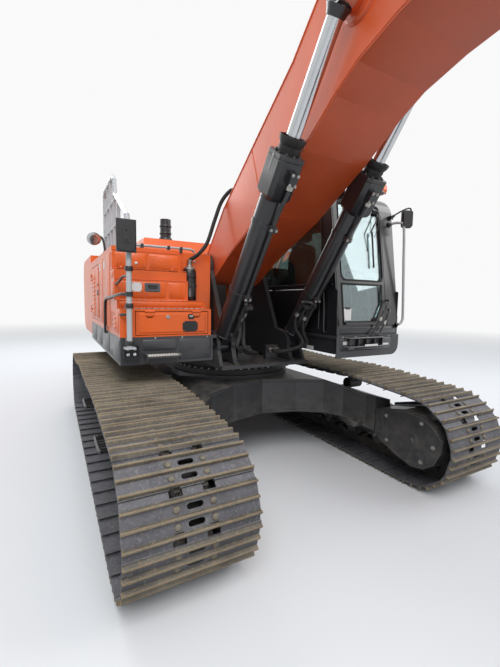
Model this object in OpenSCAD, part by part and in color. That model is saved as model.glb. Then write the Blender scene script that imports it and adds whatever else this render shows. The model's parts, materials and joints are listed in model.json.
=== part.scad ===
/* [Tracks] */
// Distance between the centre lines of the two tracks
gauge = 2700; // [2600:10:2800]
// Width of a track shoe
shoe_w = 800; // [600:10:850]
// Distance between the idler's and the sprocket's axles
tumbler_span = 4060; // [3800:10:4300]
// Height of the idler's axle over the ground
axle_z = 450; // [440:1:480]
// Number of shoes in a track
shoe_count = 48; // [44:1:50]
// Height of a grouser bar
grouser_h = 26; // [16:1:36]
// Thickness of a shoe's plate
shoe_t = 14; // [10:1:20]
// Height of a link over its pin, up to the shoe
link_up = 58; // [45:1:65]
// Height of a link below its pin, down to the roller's path
link_down = 45; // [35:1:55]
// Width of the two link strands together
chain_w = 200; // [160:1:240]
// Width of a track frame
frame_w = 330; // [280:5:400]
// Diameter of a track roller's tread
roller_d = 190; // [150:1:200]
// Number of track rollers on a side
roller_count = 8; // [7:1:9]

/* [Car body] */
// Outer diameter of the swing bearing
ring_d = 1420; // [1300:5:1500]
// Height of the swing bearing's lower face
ring_z = 930; // [910:1:950]
// Height of the swing bearing
ring_h = 130; // [100:1:150]
// Height of the car body's belly
belly_z = 520; // [480:5:560]
// Diameter of a tie-down eye's bore
tie_d = 60; // [40:1:80]

/* [Superstructure] */
// Width of the superstructure
upper_w = 2990; // [2900:10:3050]
// Radius that the counterweight sweeps
tail_r = 3500; // [3350:10:3600]
// Underside of the deck's skirts
skirt_z = 1155; // [1140:1:1170]
// Top of the deck
deck_z = 1410; // [1400:1:1430]
// Height of the side housings
housing_z = 2280; // [2200:10:2350]
// Height of the engine hood
hood_z = 2600; // [2500:10:2700]
// Front of the right deck, ahead of the swing axis
right_front = 850; // [800:5:900]
// Front of the left deck, ahead of the swing axis
left_front = 1400; // [1350:5:1450]
// Front of the counterweight, behind the swing axis
tail_front = 1750; // [1700:5:1850]
// Rear of the stepped boxes, ahead of the swing axis
housing_front = 300; // [250:5:330]
// Thickness of a sheet panel
sheet_t = 12; // [8:1:16]

/* [Cab] */
// Length of the cab
cab_l = 1930; // [1850:10:2000]
// Height of the cab's roof under its cap
cab_z = 3010; // [2950:10:3060]
// Thickness of the cab's walls
cab_t = 45; // [35:1:60]

/* [Boom] */
// Distance between the boom's foot pin and its tip pin
boom_l = 6500; // [6300:10:6700]
// Width of the boom
boom_w = 644; // [620:2:650]
// Slope of the line from foot pin to tip pin as parked
boom_rest = 16; // [14:0.5:18]
// Height of the foot pin
foot_z = 2150; // [2100:5:2200]
// Foot pin ahead of the swing axis
foot_f = 50; // [0:5:100]
// Diameter of the boom's main pins
pin_d = 110; // [90:1:125]

/* [Arm] */
// Distance between the arm's pivot and the bucket's pin
arm_l = 3200; // [3100:10:3200]
// Width of the arm
arm_w = 390; // [350:2:410]

/* [Bucket] */
// Width of the bucket
bucket_w = 1420; // [1200:10:1500]
// Number of teeth
tooth_count = 5; // [4:1:6]
// Thickness of the bucket's side plates
bucket_t = 30; // [20:1:40]
// Distance between the bucket's two pins
ear_l = 487; // [480:1:495]
// Length of the rocker plates between their pins
rocker_l = 503; // [495:1:510]
// Length of the bucket link between its pins
link_l = 648; // [640:1:655]
// Distance of the rocker's pin from the bucket's pin, along the arm
rocker_back = 631; // [620:1:640]

/* [Cylinders] */
// Outer diameter of a boom cylinder's barrel
boom_barrel_d = 200; // [180:1:205]
// Outer diameter of the arm cylinder's barrel
arm_barrel_d = 215; // [190:1:220]
// Outer diameter of the bucket cylinder's barrel
bucket_barrel_d = 190; // [170:1:200]
// Diameter of the rods
rod_d = 110; // [95:1:120]
// Distance of a boom cylinder from the machine's middle
cyl_x = 440; // [438:1:445]

/* [Fits] */
// Gap between faces that slide past each other
gap = 6; // [5:0.5:10]
// Gap between still faces that nearly meet
seat = 0.3; // [0.2:0.05:0.5]
// Radial play of a shaft in its bore
play = 0.05; // [0.02:0.01:0.1]

/* [Hidden] */

orange = [0.86, 0.36, 0.18];
salmon = [0.80, 0.42, 0.32];
charcoal = [0.20, 0.20, 0.21];
skirt_grey = [0.33, 0.34, 0.35];
steel = [0.52, 0.50, 0.47];
chrome = [0.82, 0.83, 0.85];
glass = [0.55, 0.66, 0.70];
cast_brown = [0.50, 0.30, 0.24];
rail_grey = [0.70, 0.72, 0.74];

// How far the bucket cylinder's foot stands ahead of the arm's pivot
cyl_seat_t = 640;
// The foremost point of the parked machine, ahead of the swing axis
front_reach = foot_f + boom_l * cos(boom_rest) + cyl_seat_t + bucket_barrel_d / 2 + 40;
// The swing axis lies this far behind the middle of the machine's length
swing_y = (front_reach - tail_r) / 2;

// A side outline in (forward, up), extruded across the machine about x
module side_plate(x, w) {
  translate([x, 0, 0]) rotate([90, 0, -90]) linear_extrude(w, center = true) children();
}

// A front outline in (across, up), extruded forward from f0 to f1
module front_plate(f0, f1) {
  translate([0, -f0, 0]) rotate([90, 0, 0]) linear_extrude(f1 - f0) children();
}

// A box from its ranges across, forward and up
module block(x, f, z) {
  translate([min(x), -max(f), min(z)])
    cube([abs(x[1] - x[0]), abs(f[1] - f[0]), abs(z[1] - z[0])]);
}

// A shaft across the machine at a point (forward, up)
module shaft(p, x0, x1, d, fn = 48) {
  translate([min(x0, x1), -p[0], p[1]]) rotate([0, 90, 0])
    cylinder(d = d, h = abs(x1 - x0), $fn = fn);
}

// A round bar between two points [x, forward, up]
module bar(a, b, d, fn = 16) {
  v = [b[0] - a[0], a[1] - b[1], b[2] - a[2]];
  l = norm(v);
  translate([a[0], -a[1], a[2]]) rotate([0, acos(v[2] / l), atan2(v[1], v[0])])
    cylinder(d = d, h = l, $fn = fn);
}

// A bent tube through points [x, forward, up], with a ball at each bend
module tube_run(points, d, fn = 24) {
  for (i = [0:len(points) - 2]) bar(points[i], points[i + 1], d, fn);
  for (i = [1:len(points) - 2])
    translate([points[i][0], -points[i][1], points[i][2]]) sphere(d = d * 1.08, $fn = 24);
}

// Upright hinge on a side wall: its axis stands hinge_off out from the wall at p,
// side is 1 on the left wall, and the moving leaf lies ahead of the axis where ahead is 1
hinge_off = 10;
hinge_pin_d = 10;
module hinge_leaf(p, side, ahead, z0, z1, sunk) {
  block([p[0] - side * (1 + sunk), p[0] + side * 6], [p[1] + ahead * 3, p[1] + ahead * 60], [p[2] + z0, p[2] + z1]);
  block([p[0] + side * 3, p[0] + side * hinge_off], [p[1], p[1] + ahead * 4], [p[2] + z0, p[2] + z1]);
}
module fixed_hinge(p, side, ahead) {
  translate([p[0] + side * hinge_off, -p[1], p[2] - 50]) cylinder(d = hinge_pin_d, h = 100, $fn = 24);
  for (z = [-50, 22]) {
    translate([p[0] + side * hinge_off, -p[1], p[2] + z]) cylinder(d = 2 * hinge_off - 1, h = 28, $fn = 32);
    hinge_leaf(p, side, -ahead, z, z + 28, 0);
  }
}
module moving_hinge(p, side, ahead, sunk) {
  difference() {
    union() {
      translate([p[0] + side * hinge_off, -p[1], p[2] - 21]) cylinder(d = 2 * hinge_off - 1, h = 42, $fn = 32);
      hinge_leaf(p, side, ahead, -21, 21, sunk);
    }
    translate([p[0] + side * hinge_off, -p[1], p[2] - 30])
      cylinder(d = hinge_pin_d + 2 * play, h = 60, $fn = 24);
  }
}

// Both sides of the machine
module both() {
  children();
  mirror([1, 0, 0]) children();
}

// The superstructure and undercarriage turn about this line
module machine() {
  translate([0, swing_y, 0]) children();
}

function arc(c, r, a0, a1, n) =
  [for (i = [0:n]) let (a = a0 + (a1 - a0) * i / n) [c[0] + r * cos(a), c[1] + r * sin(a)]];
function turn(p, a) = [p[0] * cos(a) - p[1] * sin(a), p[0] * sin(a) + p[1] * cos(a)];
function heading(a, b) = atan2(b[1] - a[1], b[0] - a[0]);

// Track loop: pins on a straight run, a half turn, the slack top run and a half turn
pin_r = axle_z - grouser_h - shoe_t - link_up;
half_span = tumbler_span / 2;
loop_l = 2 * tumbler_span + 2 * PI * pin_r;
pitch = loop_l / shoe_count;
// Rise of the top run over a flat one: forward, rise
slack = [
  [-half_span, 0], [-1750, -28], [-1450, -30], [-1150, 8], [-760, 58], [-400, 46], [0, 38],
  [450, 48], [860, 62], [1300, 50], [1700, 22], [half_span, 0]
];
function loop_pin(s) =
  s < tumbler_span ? [s - half_span, axle_z - pin_r] :
  s < tumbler_span + PI * pin_r ?
    let (a = -90 + (s - tumbler_span) / pin_r * 180 / PI)
    [half_span + pin_r * cos(a), axle_z + pin_r * sin(a)] :
  s < 2 * tumbler_span + PI * pin_r ?
    let (f = half_span - (s - tumbler_span - PI * pin_r))
    [f, axle_z + pin_r + lookup(f, slack)] :
  let (a = 90 + (s - 2 * tumbler_span - PI * pin_r) / pin_r * 180 / PI)
    [-half_span + pin_r * cos(a), axle_z + pin_r * sin(a)];
function track_pin(i) = loop_pin(((i % shoe_count) + 0.5) * pitch);
// Outline of one shoe over its pins: share of the pitch, height over the plate
shoe_profile = [
  [-0.47, 0], [-0.45, 1], [-0.38, 1], [-0.35, 0],
  [-0.06, 0], [-0.04, 1], [0.04, 1], [0.06, 0],
  [0.35, 0], [0.38, 1], [0.45, 1], [0.47, 0]
];
shoe_ring = [for (i = [0:shoe_count - 1])
  let (a = track_pin(i), b = track_pin(i + 1), h = heading(a, b), m = (a + b) / 2)
  for (q = shoe_profile) m + turn([q[0] * pitch, -link_up - shoe_t - q[1] * grouser_h], h)];
function ring_at(h) = [for (i = [0:shoe_count - 1])
  let (p = track_pin(i), a = heading(track_pin(i + shoe_count - 1), track_pin(i + 1)))
  p + turn([0, h], a)];
plate_ring = ring_at(-link_up);
path_ring = ring_at(link_down);
// Radius of the chain's path on the idler, inside its flat links
tread_r = (pin_r - link_down) * cos(180 * pitch / (2 * PI * pin_r)) - seat;

module track(side) {
  color(steel) machine() side_plate(side * gauge / 2, shoe_w) difference() {
    polygon(shoe_ring);
    polygon(plate_ring);
  }
  color(charcoal) machine() side_plate(side * gauge / 2, chain_w) difference() {
    polygon(plate_ring);
    polygon(path_ring);
  }
}
module track_left() { track(1); }
module track_right() { track(-1); }

// Idler: a rim on a web, its hub and the yoke's blocks
module idlers() {
  color(charcoal) machine() both() {
    c = [half_span, axle_z];
    shaft(c, gauge / 2 - chain_w / 2, gauge / 2 + chain_w / 2, 2 * tread_r - 0.8, 96);
    shaft(c, gauge / 2 - 24, gauge / 2 + 24, 2 * tread_r + 2 * seat - 2, 96);
    shaft(c, gauge / 2 - frame_w / 2 + 20, gauge / 2 + frame_w / 2 - 20, 150);
  }
}

// Sprocket: a toothed disc on the final drive's drum
tooth_count_sprocket = 21;
module sprockets() {
  color(charcoal) machine() both() {
    c = [-half_span, axle_z];
    side_plate(gauge / 2, 70) translate(c) difference() {
      circle(r = tread_r - 0.7, $fn = 96);
      for (i = [0:tooth_count_sprocket - 1]) rotate(i * 360 / tooth_count_sprocket)
        translate([tread_r + 8, 0]) circle(d = 52, $fn = 24);
    }
    shaft(c, gauge / 2 - frame_w / 2 + 20, gauge / 2 + frame_w / 2 + 30, 400, 64);
    shaft(c, gauge / 2 + frame_w / 2 + 30, gauge / 2 + frame_w / 2 + 60, 300, 64);
  }
}

// Track and carrier rollers: a grooved drum on its shaft
roller_z = axle_z - pin_r + link_down + roller_d / 2 + seat;
roller_span = tumbler_span - 1120;
module roller(c, d, w) {
  shaft(c, gauge / 2 - w / 2, gauge / 2 - w / 6, d, 48);
  shaft(c, gauge / 2 - w / 6, gauge / 2 + w / 6, d - 40, 48);
  shaft(c, gauge / 2 + w / 6, gauge / 2 + w / 2, d, 48);
}
carrier_d = 130;
carriers = [-760, 860];
function carrier_z(f) = axle_z + pin_r + lookup(f, slack) - link_down - carrier_d / 2 - 9.2;
module rollers() {
  color(charcoal) machine() both() {
    for (i = [0:roller_count - 1]) {
      f = -roller_span / 2 + i * roller_span / (roller_count - 1);
      roller([f, roller_z], roller_d, chain_w + 20);
      shaft([f, roller_z], gauge / 2 - frame_w / 2 + 30, gauge / 2 + frame_w / 2 - 30, 60, 24);
    }
    for (f = carriers) {
      shaft([f, carrier_z(f)], gauge / 2 - chain_w / 2, gauge / 2 + chain_w / 2, carrier_d, 48);
      shaft([f, carrier_z(f)], gauge / 2 - frame_w / 2 + 30, gauge / 2, 60, 24);
    }
  }
}

// Track frame: a box beam between the runs, with a yoke at the idler and a flange at the drive
beam_z = [roller_z + 20, axle_z + 130];
frame_in = gauge / 2 - frame_w / 2;
// Cover over the idler's inner side: forward, up
cover = [
  [1600, 650], [1667, 676], [1948, 739], [2125, 730], [2271, 661], [2356, 560], [2345, 444],
  [2277, 303], [2181, 232], [2052, 206], [1861, 252], [1690, 328], [1600, 372]
];
cover_x = [(gauge - shoe_w) / 2 + 8, frame_in];
module track_frame(side) {
  inner = gauge / 2 - frame_w / 2;
  outer = gauge / 2 + frame_w / 2;
  color(charcoal) machine() mirror([side < 0 ? 1 : 0, 0, 0]) {
    side_plate((cover_x[0] + cover_x[1]) / 2, cover_x[1] - cover_x[0]) polygon(cover);
    difference() {
      union() {
        side_plate(gauge / 2, frame_w) polygon([
          [-1560, beam_z[0] + 60], [-1460, beam_z[0]], [1380, beam_z[0]], [1480, beam_z[0] + 60],
          [1480, beam_z[1] - 50], [1300, beam_z[1]], [-1300, beam_z[1] + 30], [-1560, beam_z[1]]
        ]);
        for (x = [inner + 9, outer - 9]) side_plate(x, 18) union() {
          polygon([[1400, 300], [1700, 270], [half_span, 130], [half_span, 770], [1700, 690], [1400, 600]]);
          translate([half_span, axle_z]) circle(r = 250, $fn = 64);
        }
        for (x = [inner + 9, outer - 9]) side_plate(x, 18) union() {
          polygon([[-1500, 290], [-1800, 270], [-1800, 630], [-1500, 620]]);
          translate([-half_span, axle_z]) circle(r = 262, $fn = 64);
        }
      }
      for (i = [0:roller_count - 1]) {
        f = -roller_span / 2 + i * roller_span / (roller_count - 1);
        shaft([f, roller_z], gauge / 2 - chain_w / 2 - 18, gauge / 2 + chain_w / 2 + 18, roller_d + 16, 48);
        shaft([f, roller_z], inner + 29, outer - 29, 60 + 2 * play, 24);
      }
      shaft([half_span, axle_z], inner + 18, outer - 18, 150 + 2 * play, 64);
      shaft([-half_span, axle_z], inner - 1, outer + 1, 400 + 2 * seat, 64);
    }
    for (f = carriers) {
      block([inner + 18, inner + 60], [f - 60, f + 60], [beam_z[1] - 30, carrier_z(f) - 30 - play]);
      for (x = [inner, inner + 44]) block([x, x + 16], [f - 45, f + 45], [beam_z[1] - 30, carrier_z(f) - 30 - play]);
    }
  }
}
module track_frames() {
  track_frame(1);
  track_frame(-1);
}

// Car body: an X of plates arched between the track frames, with the bearing's seat
// Front right quarter of the body in plan, across and forward, widened by o
function body_plan(o) = [
  [0, 850 + o], [400, 930 + o], [690, 1070 + o], [830, 1240 + o], [940, 1480 + o], [955, 1590],
  [frame_in - seat, 1590], [frame_in - seat, 640 - o], [870 + o, 390 - o], [760 + o, 0]
];
// Underside and top of the body across the machine
body_low = [[0, belly_z], [500, belly_z - 15], [790, belly_z - 35], [900, belly_z - 85], [1000, 385], [frame_in, 320]];
body_top = [[frame_in, 720], [900, 800], [700, ring_z - 50], [0, ring_z - 30]];
module body_slice(o, outline) {
  intersection() {
    translate([0, 0, 200]) linear_extrude(800) for (sx = [1, -1]) for (sy = [1, -1])
      scale([sx, sy]) polygon(concat([[0, 0]], body_plan(o)));
    front_plate(-1700, 1700) outline_both(outline);
  }
}
module outline_both(o) {
  for (sx = [1, -1]) scale([sx, 1]) polygon(o);
}
lug_at = [850, 1400];
module car_body() {
  color(charcoal) machine() {
    body_slice(0, concat(body_low, body_top));
    // Flanges along the upper and lower edges
    body_slice(16, concat(body_low, [for (i = [5:-1:0]) body_low[i] + [0, 22]]));
    body_slice(12, concat([for (i = [3:-1:0]) body_top[i] - [0, 20]], body_top));
    translate([0, 0, ring_z - 90]) cylinder(d = ring_d + 60, h = 90 - seat, $fn = 96);
    for (sx = [1, -1]) for (sy = [1, -1]) difference() {
      translate([sx * lug_at[0], sy * lug_at[1], belly_z - 80]) union() {
        cylinder(r = 85, h = 45, $fn = 48);
        translate([-60, sy > 0 ? -160 : 0, 0]) cube([120, 160, 45]);
      }
      translate([sx * lug_at[0], sy * lug_at[1], 300]) cylinder(d = tie_d, h = 200, $fn = 48);
    }
  }
}

// Swing bearing: two bolted rings round an open middle
module swing_bearing() {
  color(charcoal) machine() translate([0, 0, ring_z]) difference() {
    union() {
      cylinder(d = ring_d, h = ring_h * 0.45, $fn = 96);
      cylinder(d = ring_d - 70, h = ring_h - seat, $fn = 96);
    }
    translate([0, 0, -1]) cylinder(d = ring_d - 320, h = ring_h + 2, $fn = 96);
  }
}

// Places of the front linkage in the parked machine: forward, up
foot = [foot_f, foot_z];
tip = foot + turn([boom_l, 0], boom_rest);
cyl_foot = [700, 1290];
// Boom points along and over the line from foot pin to tip pin
boom_eye = [2693, 757];
arm_cyl_foot = [3350, 1360];
function on_boom(p) = foot + turn(p, boom_rest);
// Arm points below and ahead of the arm's pivot
function on_arm(p) = tip + [p[1], -p[0]];
arm_eye = [-820, 370];
bucket_cyl_foot = [450, cyl_seat_t];
bucket_pin = [arm_l, 0];
rocker_pin = [arm_l - rocker_back, 60];
// The link's pins as parked, below and ahead of the arm's pivot
ear_angle = 97.8;
link_pin = [arm_l + ear_l * cos(ear_angle), ear_l * sin(ear_angle)];
rocker_eye = meet(rocker_pin, rocker_l, link_pin, link_l);
// The point at distances ra from a and rb from b, ahead of the line
function meet(a, ra, b, rb) =
  let (d = norm(b - a), m = (ra * ra - rb * rb + d * d) / (2 * d), h = sqrt(ra * ra - m * m), u = (b - a) / d)
  a + u * m + [-u[1], u[0]] * h;

plate_x = [boom_w / 2 + gap + 2, boom_w / 2 + gap + 50];
lug_x = [cyl_x + 60, cyl_x + 98];

// Rounding of the deck's lower left edge
fold_r = 110;
fold_z = skirt_z + 25 + fold_r;

// Revolving frame: a floor plate, two centre plates, cross beams and side beams
frame_floor = [ring_z + ring_h + seat, ring_z + ring_h + 36];
// Height at which the counterweight rests on the plates' tails
weight_z = 1520;
module centre_plate() {
  side_plate((plate_x[0] + plate_x[1]) / 2, plate_x[1] - plate_x[0]) difference() {
    union() {
      polygon([
        [-2900, frame_floor[1] + 70], [-1500, frame_floor[1] - 1], [930, frame_floor[1] - 1], [880, 1130],
        [cyl_foot[0] + 125, cyl_foot[1] - 40], [cyl_foot[0], cyl_foot[1] + 130], [560, 1450], [foot_f + 170, foot_z - 40],
        [foot_f + 60, foot_z + 150], [foot_f - 150, foot_z + 60], [-420, 1700], [-1500, 1560],
        [-tail_front + 10, weight_z - seat], [-2900, weight_z - seat]
      ]);
      translate(foot) circle(r = 170, $fn = 64);
      translate(cyl_foot) circle(r = 130, $fn = 64);
    }
    translate(foot) circle(d = pin_d + 2 * play, $fn = 64);
    translate(cyl_foot) circle(d = 90 + 2 * play, $fn = 48);
  }
}
module main_frame() {
  side_in = upper_w / 2 - fold_r - 84;
  color(charcoal) machine() {
    difference() {
      block([-lug_x[1], lug_x[1]], [-1500, 960], frame_floor);
      translate([0, 0, frame_floor[0] - 1]) cylinder(d = ring_d - 360, h = 60, $fn = 96);
    }
    both() {
      centre_plate();
      difference() {
        side_plate((lug_x[0] + lug_x[1]) / 2, lug_x[1] - lug_x[0]) union() {
          translate(cyl_foot) circle(r = 130, $fn = 64);
          polygon([[400, frame_floor[1] - 1], [900, frame_floor[1] - 1], [822, 1240], [600, 1370]]);
        }
        shaft(cyl_foot, lug_x[0] - 1, lug_x[1] + 1, 90 + 2 * play, 48);
      }
      block([side_in, side_in + 80], [-tail_front + 20, right_front - 30], [skirt_z + 25, deck_z - 30 - seat]);
      block([100, 260], [690, 744], [frame_floor[1] - 1, 1262]);
      for (f = [-1400, -500, 300]) block([plate_x[1] - 1, side_in + 1], [f - 60, f + 60], [skirt_z + 40, deck_z - 30 - seat]);
    }
    block([side_in, side_in + 80], [right_front - 31, left_front - 30], [skirt_z + 45, deck_z - 30 - seat]);
    block([lug_x[1] + 40, side_in + 1], [left_front - 160, left_front - 60], [skirt_z + 60, deck_z - 30 - seat]);
    block([lug_x[1] + 40, lug_x[1] + 120], [300, left_front - 60], [skirt_z + 60, deck_z - 30 - seat]);
    for (f = [-1480, -2600]) block([-plate_x[0] - 1, plate_x[0] + 1], [f, f + 40], [frame_floor[1] + 90, 1480]);
  }
  color(charcoal) machine() {
    shaft(foot, -plate_x[1] - 20, plate_x[1] + 20, pin_d, 64);
    both() shaft(cyl_foot, plate_x[0], lug_x[1] + 15, 90, 48);
  }
}

// Deck: floor plates with folded skirts, open below
module deck() {
  half = upper_w / 2;
  color(skirt_grey) machine() {
    difference() {
      union() {
        block([-half, -plate_x[1] - 4], [-tail_front + 4, right_front], [deck_z - 30, deck_z]);
        block([plate_x[1] + 4, half], [-tail_front + 4, 420], [deck_z - 30, deck_z]);
        block([lug_x[1] + 16, half], [300, left_front], [deck_z - 30, deck_z]);
        block([-half, -half + sheet_t], [-tail_front + 4, right_front], [skirt_z, deck_z]);
        block([half - sheet_t, half], [-tail_front + 4, left_front], [fold_z - 1, deck_z]);
        front_plate(-tail_front + 4, left_front) polygon(concat(
          arc([half - fold_r, fold_z], fold_r, -90, 0, 8), arc([half - fold_r, fold_z], fold_r - sheet_t, 0, -90, 8)
        ));
        block([-half, -lug_x[1] - 62], [right_front - sheet_t, right_front], [skirt_z, deck_z]);
        front_plate(left_front - sheet_t, left_front) polygon(concat(
          [[lug_x[1] + 16, deck_z], [lug_x[1] + 16, skirt_z + 25]],
          arc([half - fold_r, fold_z], fold_r, -90, 0, 8), [[half, deck_z]]
        ));
      }
      block([-lug_x[1] - 16, -plate_x[1] - 3], [420, right_front + 1], [skirt_z, deck_z + 1]);
    }
    for (i = [0:3]) block([-1280, -980], [right_front + 20 + i * 34, right_front + 30 + i * 34], [1225, 1245]);
    for (x = [-1290, -980]) block([x, x + 12], [right_front + seat, right_front + 150], [1210, 1260]);
  }
}

// Counterweight: a turned rear, cut to the machine's width
module counterweight() {
  half = upper_w / 2;
  color(orange) machine() difference() {
    intersection() {
      rotate_extrude($fn = 128) polygon([
        [0, 1215], [tail_r - 260, 1215], [tail_r - 90, 1290], [tail_r, 1480],
        [tail_r, 2180], [tail_r - 70, 2330], [tail_r - 190, 2400], [0, 2400]
      ]);
      block([-half, half], [-tail_r - 1, -tail_front], [1100, 2500]);
    }
    block([-plate_x[1] - 10, plate_x[1] + 10], [-2920, -tail_front + 1], [1100, weight_z]);
    for (x = [-900, 900]) translate([x, 2500, 2300]) cylinder(d = 70, h = 200, $fn = 48);
  }
}

// Housings: right for tanks and pumps, left for coolers
module right_housing() {
  half = upper_w / 2;
  color(orange) machine() difference() {
    block([-half, -plate_x[1] - 30], [-tail_front + 6, housing_front], [deck_z + seat, housing_z]);
    block([-half - 1, -900], [-tail_front + 120, -700], [deck_z + 60, housing_z - 90]);
  }
  color(orange) machine() {
    for (z = side_hinges) fixed_hinge([-half, -tail_front + 123, z], -1, 1);
    hood_bracket(-700);
    // Stepped boxes: inner end, front, bottom and top of each
    for (t = [[-630, 700, 1670 + seat, 1746], [-765, 560, 1746, 1950], [-775, 545, 1949, 2044],
        [-785, 380, 2043, 2051], [-800, 420, 2050, 2240], [-815, 400, 2239, housing_z]])
      block([-half, t[0]], [housing_front + seat, t[1]], [t[2], t[3]]);
  }
}
module left_housing() {
  half = upper_w / 2;
  color(orange) machine() difference() {
    block([plate_x[1] + 30, half], [-tail_front + 6, left_front - cab_l - 60], [deck_z + seat, housing_z]);
    block([900, half + 1], [-tail_front + 120, left_front - cab_l - 160], [deck_z + 60, housing_z - 90]);
  }
  color(orange) machine() {
    for (z = side_hinges) fixed_hinge([half, left_front - cab_l - 163, z], 1, -1);
    hood_bracket(700);
  }
}
side_hinges = [1600, 2060];
// A bracket on a housing's top that holds the hood's hinge pin
module hood_bracket(x) {
  axis = [-hood_front + 12, housing_z + 24];
  for (s = [-1, 1]) side_plate(x + s * 40, 24) union() {
    translate(axis) circle(r = 11.5, $fn = 32);
    translate([axis[0] - 8, housing_z - 1]) square([18, 26]);
  }
  shaft(axis, x - 52, x + 52, hinge_pin_d, 24);
}

door_t = 28;
module right_door() {
  half = upper_w / 2;
  color(orange) machine() {
    block([-half + 2, -half + 2 + door_t], [-tail_front + 126, -706], [deck_z + 66, housing_z - 96]);
    for (z = side_hinges) moving_hinge([-half, -tail_front + 123, z], -1, 1, 2);
  }
}
module left_door() {
  half = upper_w / 2;
  color(orange) machine() {
    block([half - 2 - door_t, half - 2], [-tail_front + 126, left_front - cab_l - 166], [deck_z + 66, housing_z - 96]);
    for (z = side_hinges) moving_hinge([half, left_front - cab_l - 163, z], 1, -1, 2);
  }
}

// Hood: a lid over the engine, open below, between the housings
hood_x = 980;
hood_front = 760;
module engine_hood() {
  axis = [-hood_front + 12, housing_z + 24];
  color(orange) machine() for (x = [-700, 700]) difference() {
    side_plate(x, 54) union() {
      translate(axis) circle(r = 11.5, $fn = 32);
      translate([axis[0] - 13, axis[1] - 8]) square([13, 16]);
    }
    shaft(axis, x - 30, x + 30, hinge_pin_d + 2 * play, 24);
  }
  color(orange) machine() difference() {
    hull() {
      block([-hood_x, hood_x], [-tail_front + 12, -hood_front], [housing_z + 8, housing_z + 40]);
      block([-hood_x + 90, hood_x - 90], [-tail_front + 70, -hood_front - 122], [hood_z - 40, hood_z]);
    }
    hull() {
      block([-hood_x + 30, hood_x - 30], [-tail_front + 42, -hood_front - 30], [housing_z, housing_z + 30]);
      block([-hood_x + 120, hood_x - 120], [-tail_front + 100, -hood_front - 152], [hood_z - 60, hood_z - 30]);
    }
  }
}
module engine_block() {
  color(charcoal) machine() {
    block([-plate_x[0] + 20, plate_x[0] - 20], [-tail_front + 90, -hood_front - 40], [1500, 2150]);
    for (x = [-200, 200]) for (f = [-1370, -1000]) block([x - 60, x + 60], [f - 60, f + 60], [frame_floor[1] + seat, 1501]);
  }
}
module exhaust() {
  color(charcoal) machine() {
    translate([-560, hood_front + 260, hood_z + seat]) difference() {
      cylinder(d = 150, h = 300, $fn = 48);
      translate([0, 0, 40]) cylinder(d = 130, h = 300, $fn = 48);
    }
  }
}

// Tool box ahead of the tank, and the stepped boxes over it
box_in = -620;
module tool_box() {
  half = upper_w / 2;
  color(orange) machine() difference() {
    block([-half, box_in], [housing_front + seat, right_front - 4], [deck_z + seat, 1670]);
    block([-half + sheet_t, box_in - sheet_t], [housing_front + 20, right_front - 30], [deck_z + 14, 1658]);
    block([-1360, box_in - 30], [right_front - 60, right_front], [deck_z + 14, 1650]);
  }
  color(orange) machine() for (x = box_hinges) {
    for (s = [-1, 1]) side_plate(x + s * 34, 20) union() {
      translate(box_axis) circle(r = 9.5, $fn = 32);
      translate([right_front - 5, box_axis[1]]) square([7, 20]);
    }
    shaft(box_axis, x - 44, x + 44, hinge_pin_d, 24);
  }
}
box_hinges = [-1230, -780];
box_axis = [right_front - 4 + hinge_off, 1648];

module tool_box_door() {
  color(orange) machine() {
    block([-1354, box_in - 36], [right_front - 28, right_front - 4], [deck_z + 20, 1644]);
    for (x = box_hinges) difference() {
      side_plate(x, 46) union() {
        translate(box_axis) circle(r = 9.5, $fn = 32);
        translate([right_front - 5, box_axis[1] - 60]) square([7, 60]);
      }
      shaft(box_axis, x - 30, x + 30, hinge_pin_d + 2 * play, 24);
    }
  }
}
// Handrails: the front rail, its slope, and the walkway's guard with its posts
rail_x = -upper_w / 2 + 65;
guard_x = rail_x + 80;
rail_d = 48;
module handrails() {
  top = 3190;
  color(rail_grey) machine() {
    tube_run([[rail_x, 950, 1335], [rail_x, 950, 2350], [rail_x, 880, 2480], [guard_x, -300, 2960],
      [guard_x, -340, top - 60], [guard_x, -420, top], [guard_x, -1120, top], [guard_x, -1200, top - 60],
      [guard_x, -1200, housing_z + seat]], rail_d);
    for (t = [[-60, 2855], [-340, top - 70], [-620, top], [-900, top]])
      bar([guard_x, t[0], housing_z + seat], [guard_x, t[0], t[1]], 40);
    for (t = [[2600, -60], [2900, -160]]) bar([guard_x, -1200, t[0]], [guard_x, t[1], t[0]], 34);
    block([rail_x - 45, rail_x + 45], [right_front + seat, 990], [1320, 1337]);
  }
}

// Cab: side outline in (forward, up), with its front raked and its roof rounded
cab_in = cyl_x + boom_barrel_d / 2 + 29;
cab_out = upper_w / 2 - 6;
cab_w = cab_out - cab_in;
cab_back = left_front - cab_l - 20;
cab_front = left_front - 20;
cab_floor = deck_z + cab_t + 2 * seat;
module cab_outline(t) {
  polygon(concat(
    [[cab_back + t, deck_z + seat + t], [cab_front - t, deck_z + seat + t], [cab_front - t, 1600]],
    arc([cab_front - 450, cab_z - 300], 300 - t, 20, 90, 8),
    arc([cab_back + 160, cab_z - 160], 160 - t, 90, 180, 6)
  ));
}
module door_outline(g) {
  polygon([
    [120 + g, 1500 + g], [1180 - g, 1500 + g], [1250 - g, 1640], [1235 - g, 2300],
    [1060 - g, 2870 - g], [120 + g, 2870 - g]
  ]);
}
module door_window(g) {
  polygon([
    [210 - g, 1960 - g], [1150 + g, 1960 - g], [1140 + g, 2290],
    [1000 + g, 2780 + g], [210 - g, 2780 + g]
  ]);
}
module right_window(g) {
  polygon([
    [-440 + g, 1960 + g], [1190 - g, 1960 + g], [1160 - g, 2350], [1000 - g, 2800 - g], [-440 + g, 2800 - g]
  ]);
}
module left_window(g) {
  translate([-440 + g, 1960 + g]) square([460 - 2 * g, 840 - 2 * g]);
}
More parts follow.
